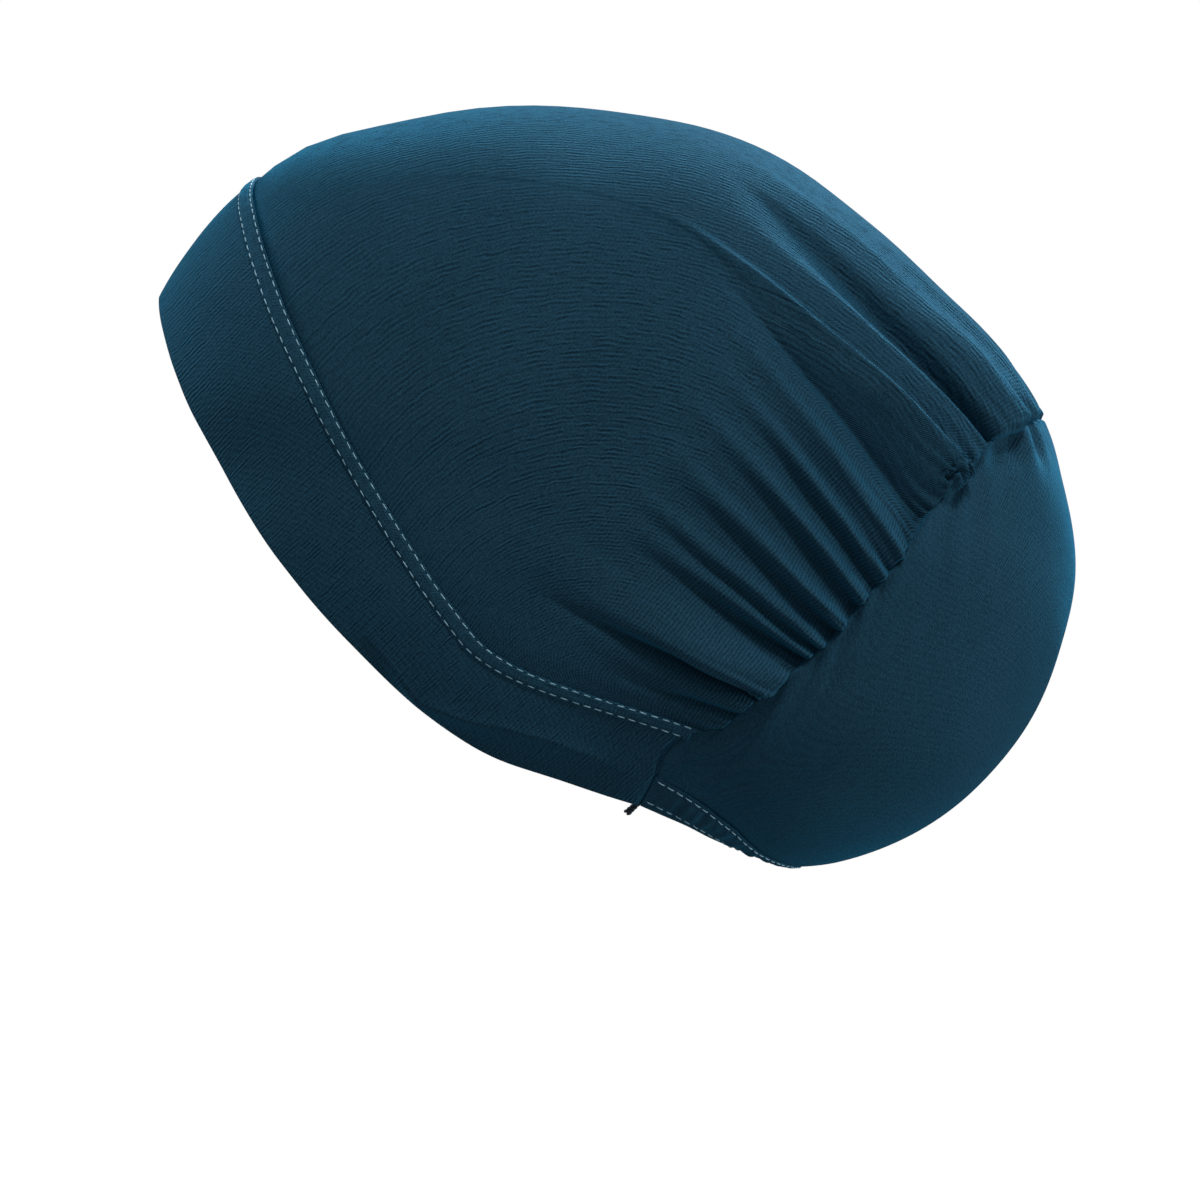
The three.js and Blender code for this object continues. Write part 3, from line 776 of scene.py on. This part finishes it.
@dataclass
class Crown(ClothPanel):
    """The large panel, smooth over the head and gathered at the back."""

    front_dip: float = 0.6
    front_rise: float = 9.0
    back_dip: float = 1.3
    sag: float = 0.2
    sag_from: float = 0.2
    crispness: float = 0.5
    softness: int = 3
    deepening: float = 0.1
    roll: float = 0.2
    pinch: float = 0.25
    pinch_width: float = 0.9
    groove: float = 0.35
    crumple: float = 4.0
    crumple_at: tuple[float, float] = (0.283, 0.016)
    round_least: float = 0.7
    round_growth: float = 0.3
    spill: float = 0.5
    lap: float = 0.3
    pucker: float = 1.7
    pucker_pitch: float = 3.2
    pucker_reach: float = 13.0
    pucker_middle: float = 0.4
    gathers_weight: float = 0.6
    knit_depth: float = 200.0
    knit_reach: float = 80.0
    knit_growth: float = 32.0
    knit_shift: float = 60.0
    wander: float = 0.0016
    wander_waves: tuple[float, float] = (22.0, 5.0)
    unevenness: float = 0.12
    uneven_waves: tuple[float, float] = (30.0, 4.0)
    waver_size: tuple[float, float] = (14.0, 30.0)
    swell: float = 0.5
    swell_size: float = 55.0
    crumple_reach: float = 7.0
    crumple_pitch: float = 3.8
    spill_from: float = 2.0

    @staticmethod
    def folds() -> Array:
        """Returns the table of folds from the near side seam to the far one."""
        near = np.array(FOLDS)
        count = np.arange(len(near))
        far = near.copy()
        far[:, Fold.AT.value] = 1.0 - near[:, Fold.AT.value] - 0.003 * np.sin(2.3 * count)
        far[:, Fold.HEIGHT.value] *= 1.0 + 0.2 * np.sin(1.7 * count)
        far[:, Fold.TILT.value] *= -1.0
        return np.concatenate([near, [MIDDLE_FOLD], far[::-1]])

    @staticmethod
    def guides() -> tuple[Array, Array, Array]:
        """Returns the fold guides of both sides: shares of the gathers, starts, front shares."""
        gathers, ys, zs, fronts = np.array(FOLD_GUIDES).T
        starts = np.array([(FORM.side_depth(y, z), y, z) for y, z in zip(ys, zs)])
        starts[-1, 0] = 0.0
        mirrored = starts[-2::-1] * (-1.0, 1.0, 1.0)
        return (np.concatenate([gathers, 1.0 - gathers[-2::-1]]), np.concatenate([starts, mirrored]),
                np.concatenate([fronts, 1.0 - fronts[-2::-1]]))

    def spread(self) -> tuple[Array, Array]:
        """Returns shares along the gathers and forward, with columns where a seam needs them."""
        gathers, _, fronts = self.guides()
        fine = np.linspace(0.0, 1.0, 4001)
        by_front = through(gathers, fronts, fine)
        run = self.gathers_weight * fine + (1.0 - self.gathers_weight) * by_front
        at = np.interp(np.linspace(0.0, 1.0, self.columns), run, fine)
        forward = 1.0 - (1.0 - np.linspace(0.0, 1.0, self.rows) ** 1.1) ** 1.9
        return np.meshgrid(at, forward, indexing="ij")

    def laid(self, at: Array, forward: Array) -> Array:
        """Lays the cloth from the front seam, through the starts of the folds, to the gathers.

        Args:
            at: shares along the gathered seam.
            forward: shares from the front seam to the gathered seam.

        Returns:
            Points on the form.
        """
        gathers, starts, fronts = self.guides()
        first = SEAMS.front.at(through(gathers, fronts, at))
        start = FORM.project(through(gathers, starts, at))
        last = SEAMS.gathers.at(at)
        coming = (start - first) / FOLD_START
        going = (last - start) / (1.0 - FOLD_START)
        share = forward[..., None]
        near = hermite(first, start, (2.0 * coming - going) * FOLD_START, going * FOLD_START,
                       share / FOLD_START)
        rest = 1.0 - FOLD_START
        sag = self.sag * smooth((0.5 - np.abs(at - 0.5) - self.sag_from) / 0.08)
        slope = going + (going - coming) * sag[..., None]
        far = hermite(start, last, slope * rest, (2.0 * going - slope) * rest,
                      (share - FOLD_START) / rest)
        return FORM.project(np.where(share < FOLD_START, near, far))

    def knit(self, at: Array, base: Array, to_seam: Array) -> Array:
        """Returns the lie of the knit, with ribs that circle a line across the head."""
        offset = np.hypot(base[..., 1] - RIB_CENTRE[0], base[..., 2] - RIB_CENTRE[1])
        turn = np.arctan2(offset, base[..., 0])
        side = np.minimum(turn, math.pi - turn)
        half = (self.knit_reach + self.knit_growth / 2.0 * math.pi) * math.pi / 2.0
        ribs = self.knit_reach * side + self.knit_growth * side**2
        ribs = np.where(turn > math.pi / 2.0, 2.0 * half - ribs, ribs)
        near_middle = smooth((0.5 - np.abs(at - 0.5) - 0.22) / 0.1)
        courses = self.knit_depth - to_seam - self.knit_shift * near_middle
        return np.stack([ribs, courses], axis=-1)

    def folded(self, at: Array, forward: Array) -> tuple[Array, Array]:
        """Works out the folds, with round ridges that roll over sharp valleys.

        Args:
            at: shares along the gathered seam.
            forward: shares from the front seam to the gathered seam.

        Returns:
            How far the cloth stands out, and how far it is pushed along the seam.
        """
        table = self.folds()
        places = table[:, Fold.AT.value]
        right = np.clip(np.searchsorted(places, at), 1, len(places) - 1)
        left = right - 1
        share = np.clip((at - places[left]) / (places[right] - places[left]), 0.0, 1.0)

        def grown(row: Array, column: Fold) -> Array:
            """Returns a column's value as far as the fold has grown."""
            start = table[row, Fold.START.value]
            return table[row, column.value] * smooth((forward - start) / (FOLD_FULL - start)) ** 0.75

        rising = table[left, Fold.HEIGHT.value] < table[right, Fold.HEIGHT.value]
        from_valley = np.where(rising, share, 1.0 - share)
        ridge_tilt = table[np.where(rising, right, left), Fold.TILT.value]
        under = np.where(rising, ridge_tilt < 0.0, ridge_tilt > 0.0)
        fullness = table[np.where(rising, right, left), Fold.FULLNESS.value]
        risen = 1.0 - (1.0 - from_valley) ** (fullness + self.crispness * under)
        mix = np.where(rising, risen, 1.0 - risen)
        lift = grown(left, Fold.HEIGHT) * (1.0 - mix) + grown(right, Fold.HEIGHT) * mix
        push = grown(left, Fold.TILT) * (1.0 - mix) + grown(right, Fold.TILT) * mix
        ridge_push = grown(np.where(rising, right, left), Fold.TILT)
        push -= under * self.roll * ridge_push * np.sin(2.0 * math.pi * from_valley)
        span = (places[right] - places[left]) * SEAMS.gathers.length
        lift += self.pinch * np.abs(ridge_push) * np.exp((from_valley - 1.0) * span / self.pinch_width)
        sunk = np.minimum(grown(np.where(rising, left, right), Fold.HEIGHT), 0.0)
        lift += self.groove * sunk * np.exp(-from_valley * span / self.pinch_width)
        return lift * (1.0 + self.deepening * smooth((forward - 0.6) / 0.3)), push

    def surface(self) -> tuple[Array, Array]:
        """Returns the outer face as a grid of points, and the lie of its knit."""
        at, forward = self.spread()
        base = self.laid(at, forward)
        down = run_down(base)
        to_seam = down[:, -1:] - down
        normals = FORM.normals(base)
        sideways = unit(np.gradient(base, axis=0))
        onward = unit(np.cross(normals, sideways))
        onward *= np.sign(np.sum(onward * (base[:, -1:] - base[:, :1]), axis=-1, keepdims=True))

        across, along = self.wander_waves
        wander = self.wander * ripple(at * across, forward * along, seed=4) * (1.0 - forward)
        lift, push = (softened(part, self.softness) for part in self.folded(at + wander, forward))
        across, along = self.uneven_waves
        lift *= 1.0 + self.unevenness * ripple(at * across, forward * along, seed=5)
        along_seam = at * SEAMS.gathers.length
        across, along = self.waver_size
        waver = 0.6 * ripple(along_seam / across, down / along, seed=6)
        pleat = np.abs(np.sin(math.pi * along_seam / self.pucker_pitch + 2.2 * waver))
        strength = 0.6 + 0.4 * ripple(along_seam / 9.0, 0.0 * down, seed=7)
        pleat = (pleat - self.pucker_middle) * strength
        lift += self.pucker * pleat * np.exp(-to_seam / self.pucker_reach)
        swell = ripple(base[..., 1] / self.swell_size, base[..., 2] / self.swell_size, seed=8)
        lift += self.swell * swell * smooth(down / 30.0)
        lift += self.front_dip * (smooth(down / self.front_rise) - 1.0)

        place, width = self.crumple_at
        spot = np.exp(-(((at - place) / width) ** 2) - (to_seam / self.crumple_reach) ** 2)
        bend = ripple(along_seam / 6.0, to_seam / 5.0, seed=9)
        wrinkle = np.abs(np.sin(math.pi * (along_seam / self.crumple_pitch + 0.5 * bend)))
        lift += self.crumple * spot * (wrinkle - 0.35)

        tip = self.round_least + self.round_growth * np.maximum(lift, 0.0)
        closing = rounded_edge(to_seam, tip)
        height = (lift + self.back_dip) * closing - self.back_dip
        over = self.spill * np.maximum(lift - self.spill_from, 0.0)
        over = over * 4.0 * closing * (1.0 - closing)
        over *= smooth((tip * 3.0 - to_seam) / tip)
        points = base + normals * height[..., None] + sideways * (push * closing)[..., None]
        points += onward * (over + self.lap * np.exp(-to_seam))[..., None]
        return points, self.knit(at, base, to_seam)


@dataclass
class FrontBand(ClothPanel):
    """The double band, with its lower edge turned under at the cheeks."""

    crease_height: float = 1.3
    crease_reach: float = 3.0
    crease_fade: float = 0.2
    turn_depth: float = 4.2
    turn_least: float = 5.0
    end_dip: float = 1.2
    end_round: float = 1.3
    rib_angle: float = 43.0
    swell: float = 0.35
    swell_size: float = 40.0
    # Share in from the side seam where the crease starts and ends, and over how much of it
    crease_start: tuple[float, float] = (0.012, 0.05)
    crease_end: tuple[float, float] = (0.205, 0.06)

    @staticmethod
    def crease(side: Array) -> Array:
        """Returns how far down the band its crease lies at shares in from a side seam."""
        places = np.array([place for place, _ in BAND_CREASE])
        depths = np.array([depth for _, depth in BAND_CREASE])
        return np.interp(side, places, depths)

    def surface(self) -> tuple[Array, Array]:
        """Returns the outer face as a grid of points, and the lie of its knit."""
        along, down = grid_shares(self.columns, self.rows)
        base = side_bow(SEAMS.front.at, SEAMS.face, SEAMS.band_end, along, down)
        run = run_down(base)
        side = np.minimum(along, 1.0 - along)
        crease = self.crease(side)
        height = run[:, -1:] * (down - crease)
        start, growing = self.crease_start
        end, dying = self.crease_end
        strength = smooth((side - start) / growing) * smooth((end - side) / dying)
        ridge = self.crease_height * smooth((1.0 - crease) / self.crease_fade)
        left = run[:, -1:] * (1.0 - crease)
        turning = np.clip(height / np.maximum(left, self.turn_least), 0.0, 1.0)
        below = np.sin(turning * math.pi / 2.0)
        turned = np.where(height > 0.0, ridge - (self.turn_depth + ridge) * below,
                          ridge * np.exp(height / self.crease_reach)) * strength
        lift = self.end_dip * (rounded_edge(side * SEAMS.front.length, self.end_round) - 1.0)
        swell = ripple(base[..., 1] / self.swell_size, base[..., 2] / self.swell_size, seed=11)
        lift += self.swell * swell * smooth(run / 12.0)
        points = base + FORM.normals(base) * lift[..., None]
        points[..., 0] += np.sign(base[..., 0]) * turned
        bias = math.radians(self.rib_angle)
        ribs = base[..., 2] * math.cos(bias) - base[..., 1] * math.sin(bias)
        courses = base[..., 1] * math.cos(bias) + base[..., 2] * math.sin(bias) - np.abs(base[..., 0])
        return points, np.stack([ribs, courses], axis=-1)


@dataclass
class BackPanel(ClothPanel):
    """The smooth pouch behind the gathers."""

    seam_dip: float = 1.8
    seam_round: float = 1.4
    pull: float = 0.45
    swell: float = 0.5
    swell_size: float = 45.0
    # Place along the seam, distance below it, height, width and length of each hollow or pull
    dimples: tuple[tuple[float, ...], ...] = (
        (0.298, 4.0, -1.6, 4.0, 3.0),
        (0.352, 5.0, -2.4, 6.0, 4.0),
        (0.372, 5.5, -1.6, 3.0, 5.0),
        (0.389, 4.0, 1.9, 3.6, 9.0),
        (0.405, 6.0, -1.6, 2.2, 7.0),
        (0.419, 4.0, 1.5, 2.8, 9.0),
        (0.436, 5.0, -1.2, 3.0, 6.0),
    )

    def surface(self) -> tuple[Array, Array]:
        """Returns the outer face as a grid of points, and the lie of its knit."""
        along, down = grid_shares(self.columns, self.rows, ease=1.15, lead=1.7)
        base = side_bow(SEAMS.back_top, SEAMS.casing, SEAMS.back_end, along, down)
        run = run_down(base)
        lift = self.seam_dip * (rounded_edge(run, self.seam_round) - 1.0)
        along_seam = along * SEAMS.gathers.length
        from_side = np.minimum(along, 1.0 - along) * SEAMS.gathers.length
        lift += self.seam_dip * (rounded_edge(from_side, self.seam_round) - 1.0)
        crowded = smooth((0.5 - np.abs(along - 0.5)) / 0.3)
        waver = ripple(along_seam / 11.0, run / 60.0, seed=21)
        lift += self.pull * (0.5 + crowded) * waver * np.exp(-run / 13.0) * smooth(run / 2.0)
        swell = ripple(base[..., 0] / self.swell_size, base[..., 2] / self.swell_size, seed=22)
        lift += self.swell * swell * smooth(run / 20.0)
        for place, depth, height, width, length in self.dimples:
            beside = (along_seam - place * SEAMS.gathers.length) / width
            lift += height * np.exp(-(beside**2) - ((run - depth) / length) ** 2) * smooth(run / 2.0)
        points = base + FORM.normals(base) * lift[..., None]
        across = SEAMS.gathers.length * (along - 0.5) * (1.0 - 0.35 * down)
        turned = np.stack([across + run, run - across], axis=-1) / math.sqrt(2.0)
        return points, turned


@dataclass
class NapeCasing(ClothPanel):
    """The tunnel of cloth that the elastic scrunches at the nape."""

    tuck: float = 4.0
    bulge: float = 0.8
    scrunch: float = 0.35
    pitch: float = 5.5
    # Rows of the grid that the two rows of stitches follow
    stitched: tuple[int, int] = (4, 31)

    def surface(self) -> tuple[Array, Array]:
        """Returns the outer face as a grid of points, and the lie of its knit."""
        along, down = grid_shares(self.columns, self.rows)
        base = side_bow(SEAMS.casing.at, SEAMS.nape, SEAMS.casing_end, along, down)
        run = run_down(base)
        middle = np.sin(math.pi * along)
        length = SEAMS.casing.length * along
        ruffle = ripple(length / self.pitch, down * 0.7, seed=31)
        lift = (self.bulge + self.scrunch * ruffle) * np.sin(math.pi * down) * smooth(4.0 * middle)
        lift -= self.tuck * middle**3 * down**2
        points = base + FORM.normals(base) * lift[..., None]
        return points, np.stack([length * 1.5, run], axis=-1)

    def stitch_rows(self) -> list[tuple[Array, Array]]:
        """Returns the two stitch rows, each with its normals."""
        points, _ = self.surface()
        lines = [points[1:-1, row] for row in self.stitched]
        return [(line, FORM.normals(line)) for line in lines]


@dataclass
class SeamStrip(ClothPanel):
    """The raised strip over the front seam, pressed flat between two stitch rows."""

    width: float = 6.2
    rise: float = 0.5
    narrowing: float = 0.2
    clear: float = 0.15
    row_offset: float = 2.35
    groove: float = 0.4
    groove_width: float = 0.4
    narrow_from: float = 0.14
    narrow_over: float = 0.16
    stitch_start: float = 0.004

    def narrowed(self, along: Array) -> Array:
        """Returns the share of its full width that the strip has at shares of its length."""
        side = np.minimum(along, 1.0 - along)
        return 1.0 - self.narrowing * smooth((side - self.narrow_from) / self.narrow_over)

    def lift(self, across: Array) -> Array:
        """Returns the strip's height over the seam at distances from its middle, at full width."""
        edge = np.clip(1.0 - np.abs(2.0 * across / self.width) ** 8, 0.0, 1.0) ** 0.5
        rows = np.exp(-(((np.abs(across) - self.row_offset) / self.groove_width) ** 2))
        return self.clear + self.rise * edge - self.groove * rows

    def place(self, along: Array, across: Array) -> tuple[Array, Array]:
        """Finds places on the strip.

        Args:
            along: shares of its length.
            across: distances from its middle at full width, towards the crown where positive.

        Returns:
            The points on its face and the normals there.
        """
        seam = SEAMS.front.at(along)
        crown, face = SEAMS.gathers.at(along), SEAMS.face.at(along)
        off = np.abs(across) * self.narrowed(along)
        up = off / np.linalg.norm(crown - seam, axis=-1)
        down = off / np.linalg.norm(face - seam, axis=-1)
        base = np.where((across > 0.0)[..., None],
                        FORM.between(seam, crown, up), FORM.between(seam, face, down))
        normals = FORM.normals(base)
        return base + normals * self.lift(across)[..., None], normals

    def surface(self) -> tuple[Array, Array]:
        """Returns the outer face as a grid of points, and the lie of its knit."""
        along, share = grid_shares(self.columns, self.rows)
        across = (share - 0.5) * self.width
        points, normals = self.place(along, across)
        length = SEAMS.front.length * along
        bump = 0.08 * ripple(length / 6.0, across / 4.0, seed=41)
        return points + normals * bump[..., None], np.stack([length, across], axis=-1)

    def stitch_rows(self) -> list[tuple[Array, Array]]:
        """Returns the two stitch rows, each with its normals."""
        along = np.linspace(self.stitch_start, 1.0 - self.stitch_start, 1200)
        offsets = (self.row_offset, -self.row_offset)
        return [self.place(along, np.full_like(along, offset)) for offset in offsets]


@dataclass
class Topstitching:
    """Rows of single stitches, one mesh of many short threads."""

    name: str
    slot: str
    finish: ThreadFinish
    pitch: float = 3.45
    stitch: float = 2.6
    thread: float = 0.38
    arch: float = 0.16
    bluntness: int = 5
    plunge: float = 2.2
    shift: float = 0.12
    skew: float = 0.06

    def one_stitch(self) -> tuple[Array, list[tuple[int, ...]]]:
        """Models one stitch, its ends bent down into the cloth.

        Returns:
            Its points in millimetres, long in x and proud in z, and its faces.
        """
        bpy.ops.object.select_all(action="DESELECT")
        bpy.ops.mesh.primitive_uv_sphere_add(segments=6, ring_count=8, radius=0.5)
        ball = bpy.context.object
        points = np.empty(len(ball.data.vertices) * 3)
        ball.data.vertices.foreach_get("co", points)
        points = points.reshape(-1, 3)[:, [2, 1, 0]] * (1.0, 1.0, -1.0)
        faces = [tuple(face.vertices) for face in ball.data.polygons]
        bpy.data.objects.remove(ball, do_unlink=True)
        along = points[:, 0] * 2.0
        full = np.sqrt(np.clip(1.0 - np.abs(along) ** self.bluntness, 0.0, 1.0))
        ring = np.hypot(points[:, 1], points[:, 2])
        scale = np.where(ring > 1e-6, full * self.thread / 2.0 / np.maximum(ring, 1e-6), 0.0)
        shaped = np.stack([along * self.stitch / 2.0, points[:, 1] * scale, points[:, 2] * scale],
                          axis=1)
        shaped[:, 2] += self.arch * (1.0 - self.plunge * along**4)
        return shaped, faces

    def build(self, rows: Sequence[tuple[Array, Array]]) -> bpy.types.Object:
        """Copies the stitch along rows.

        Args:
            rows: for each row a fine line of points on the cloth and the normals there.

        Returns:
            The finished object.
        """
        shape, faces = self.one_stitch()
        all_points: list[Array] = []
        all_faces: list[tuple[int, ...]] = []
        draw = np.random.default_rng(17)
        for line, normals in rows:
            steps = np.linalg.norm(np.diff(line, axis=0), axis=1)
            run = np.concatenate([[0.0], np.cumsum(steps)])
            for middle in np.arange(self.pitch * 0.5, run[-1] - self.pitch * 0.4, self.pitch):
                middle += draw.uniform(-self.shift, self.shift)
                ends = [np.array([np.interp(middle + half, run, line[:, k]) for k in range(3)])
                        for half in (-self.stitch / 2.0, self.stitch / 2.0)]
                normal = unit(np.array([np.interp(middle, run, normals[:, k]) for k in range(3)]))
                forward = unit(ends[1] - ends[0])
                side = unit(np.cross(normal, forward))
                forward = unit(forward + side * draw.uniform(-self.skew, self.skew))
                side = unit(np.cross(normal, forward))
                basis = np.stack([forward, side, np.cross(forward, side)])
                centre = (ends[0] + ends[1]) / 2.0
                first = len(all_points) * len(shape)
                all_points.append(shape @ basis + centre)
                all_faces.extend(tuple(first + k for k in face) for face in faces)
        mesh = bpy.data.meshes.new(self.name)
        mesh.from_pydata(np.concatenate(all_points) * MM, [], all_faces)
        mesh.shade_smooth()
        piece = bpy.data.objects.new(self.name, mesh)
        bpy.context.scene.collection.objects.link(piece)
        mesh.materials.append(self.finish.material())
        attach(piece, BODY)
        LOG.info("%s: %d stitches", self.name, len(all_points))
        return piece


@dataclass
class SeamTail:
    """The clipped end of the overlocked side seam, hanging at the rim."""

    name: str
    finish: ThreadFinish
    strands: int = 3
    turns: float = 1.4
    strand_radius: float = 0.46
    twist_radius: float = 0.5
    fraying: float = 0.2
    # How far the threads' two ends stay inside the solid's box, in y and z
    top_inset: tuple[float, float] = (0.6, 0.3)
    tip_inset: tuple[float, float] = (0.8, 0.8)

    def build(self) -> bpy.types.Object:
        """Twists a few threads together where the frame holds the tail.

        Returns:
            The finished object.
        """
        low, high = (np.array(corner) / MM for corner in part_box("seam_tail"))
        middle = (low[0] + high[0]) / 2.0
        top = np.array([middle, high[1] - self.top_inset[0], high[2] - self.top_inset[1]])
        tip = np.array([middle, low[1] + self.tip_inset[0], low[2] + self.tip_inset[1]])
        axis = unit(tip - top)
        side = unit(np.cross(axis, (1.0, 0.0, 0.0)))
        out = np.cross(axis, side)
        shares = np.linspace(0.0, 1.0, 26)
        bpy.ops.object.select_all(action="DESELECT")
        made = []
        for strand in range(self.strands):
            turn = 2.0 * math.pi * (self.turns * shares + strand / self.strands)
            spread = self.twist_radius + self.fraying * shares
            line = top + np.outer(shares, tip - top)
            line += np.outer(np.cos(turn) * spread, side) + np.outer(np.sin(turn) * spread, out)
            curve = bpy.data.curves.new(f"{self.name}_{strand}", "CURVE")
            curve.dimensions = "3D"
            curve.bevel_depth = self.strand_radius * MM
            curve.bevel_resolution = 2
            curve.use_fill_caps = True
            spline = curve.splines.new("POLY")
            spline.points.add(len(line) - 1)
            spline.points.foreach_set("co", np.column_stack([line * MM, np.ones(len(line))]).ravel())
            thread = bpy.data.objects.new(curve.name, curve)
            bpy.context.scene.collection.objects.link(thread)
            thread.select_set(True)
            made.append(thread)
        bpy.context.view_layer.objects.active = made[0]
        bpy.ops.object.convert(target="MESH")
        bpy.ops.object.join()
        piece = bpy.context.object
        piece.name = self.name
        piece.data.name = self.name
        piece.data.materials.clear()
        piece.data.materials.append(self.finish.material())
        bpy.ops.object.shade_smooth()
        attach(piece, BODY)
        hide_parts("seam_tail")
        return piece


# Square lights: name, place and side in metres, and power in watts
LIGHTS = (
    ("top_light", (-0.72, 0.62, 0.95), 0.45, 29.5),
    ("brow_light", (-0.6, -1.3, 0.4), 0.5, 9.0),
    ("side_light", (0.8, 0.32, 1.05), 0.3, 7.4),
    ("back_light", (0.0, 1.2, -0.38), 0.5, 7.5),
)


@dataclass
class Studio:
    """Pale floor, soft light and the camera at the photograph's angle."""

    centre: tuple[float, float] = (21.2, -147.2)
    distance: float = 1500.0
    lens: float = 148.5
    floor_drop: float = 420.0
    floor_side: float = 2600.0
    floor_colour: tuple[float, float, float] = (0.88, 0.88, 0.88)
    floor_glow: float = 0.62
    glow: float = 0.2

    def camera(self) -> None:
        """Looks at the wearer's left side from straight beside it."""
        data = bpy.data.cameras.new("camera")
        data.lens = self.lens
        data.sensor_width = 36.0
        data.clip_end = 20.0
        camera = bpy.data.objects.new("camera", data)
        camera.location = (self.distance * MM, self.centre[0] * MM, self.centre[1] * MM)
        camera.rotation_euler = (math.radians(90.0), 0.0, math.radians(90.0))
        bpy.context.scene.collection.objects.link(camera)
        bpy.context.scene.camera = camera

    def floor(self) -> None:
        """Lays a pale floor below the cap."""
        bpy.ops.object.select_all(action="DESELECT")
        bpy.ops.mesh.primitive_plane_add(size=self.floor_side * MM,
                                         location=(0.0, 0.0, -self.floor_drop * MM))
        floor = bpy.context.object
        floor.name = "studio_floor"
        bpy.ops.object.transform_apply(location=True)
        made = Shading("pale_floor", 0.8, 0.1)
        made.tone(made.noise(3.0, 1.0), self.floor_colour, 0.02)
        made.shader.inputs["Emission Color"].default_value = (1.0, 1.0, 1.0, 1.0)
        made.shader.inputs["Emission Strength"].default_value = self.floor_glow
        floor.data.materials.append(made.material)
        floor.visible_diffuse = False
        floor.visible_glossy = False

    def world(self) -> None:
        """Surrounds the cap with weak even light, against a white backdrop."""
        world = bpy.data.worlds.new("studio")
        bpy.context.scene.world = world
        world.use_nodes = True
        nodes, links = world.node_tree.nodes, world.node_tree.links
        seen = nodes.new("ShaderNodeLightPath")
        level = nodes.new("ShaderNodeMapRange")
        level.inputs["To Min"].default_value = self.glow
        level.inputs["To Max"].default_value = 1.0
        links.new(seen.outputs["Is Camera Ray"], level.inputs["Value"])
        nodes["Background"].inputs["Color"].default_value = (1.0, 1.0, 1.0, 1.0)
        links.new(level.outputs["Result"], nodes["Background"].inputs["Strength"])

    @staticmethod
    def softbox(name: str, place: tuple[float, float, float], size: float, power: float) -> None:
        """Hangs a square light that faces the cap.

        Args:
            name: the light's name.
            place: where it hangs, in metres.
            size: its side in metres.
            power: its power in watts.
        """
        data = bpy.data.lights.new(name, "AREA")
        data.shape = "SQUARE"
        data.size = size
        data.energy = power
        light = bpy.data.objects.new(name, data)
        light.location = place
        aim = Vector(place) - Vector(FORM.centre) * MM
        light.rotation_euler = aim.to_track_quat("Z", "Y").to_euler()
        bpy.context.scene.collection.objects.link(light)

    def build(self) -> None:
        """Sets up the whole studio."""
        self.camera()
        self.floor()
        self.world()
        for light in LIGHTS:
            self.softbox(*light)
        view = bpy.context.scene.view_settings
        view.view_transform = "Standard"
        view.look = "None"


CROWN_JERSEY = JerseyFinish("crown_jersey", (0.021, 0.072, 0.118), courses_from=115.0,
                            courses_to=160.0)
BAND_JERSEY = JerseyFinish("band_jersey", (0.021, 0.074, 0.122))
BACK_JERSEY = JerseyFinish("back_jersey", (0.021, 0.072, 0.118), rib_relief=0.05, fuzz_relief=0.15)
STRIP_JERSEY = JerseyFinish("strip_jersey", (0.022, 0.077, 0.125), rib_relief=0.03,
                            fuzz_relief=0.05)
CASING_JERSEY = JerseyFinish("casing_jersey", (0.02, 0.068, 0.112), rib_relief=0.05)
SEAM_THREAD = ThreadFinish("seam_thread", (0.38, 0.7, 0.86))
TAIL_THREAD = ThreadFinish("tail_thread", (0.012, 0.028, 0.042))


def main() -> None:
    """Builds the cap's pieces in order and the studio round them."""
    logging.basicConfig(level=logging.INFO, format="%(name)s: %(message)s")
    crown = Crown("crown_cloth", "crown", "crown_jersey", 1.2, 760, 62, CROWN_JERSEY,
                  flat=(560.0, 230.0), cut_share=0.75, held=Held.GATHERED)
    band = FrontBand("band_cloth", "front_band", "band_jersey", 1.9, 420, 36, BAND_JERSEY,
                     flat=(530.0, 48.0), cut_share=0.8, edge_round=0.8)
    back = BackPanel("back_cloth", "back_panel", "back_jersey", 1.2, 300, 100, BACK_JERSEY,
                     flat=(370.0, 130.0), cut_share=0.75)
    casing = NapeCasing("casing_cloth", "nape_casing", "casing_jersey", 2.2, 240, 40, CASING_JERSEY,
                        flat=(180.0, 10.5), held=Held.GATHERED, edge_round=0.8)
    strip = SeamStrip("seam_strip", "front_seam", "seam_jersey", 0.8, 520, 22, STRIP_JERSEY)
    seam_stitches = Topstitching("seam_topstitching", "seam_jersey", SEAM_THREAD)
    casing_stitches = Topstitching("casing_topstitching", "casing_jersey", SEAM_THREAD)
    crown.declare(crown.build())
    back.declare(back.build())
    band.declare(band.build(), [strip.build(), seam_stitches.build(strip.stitch_rows())])
    casing.declare(casing.build(), [casing_stitches.build(casing.stitch_rows())])
    SeamTail("clipped_tail", TAIL_THREAD).build()
    Studio().build()


if __name__ == "__main__":
    main()
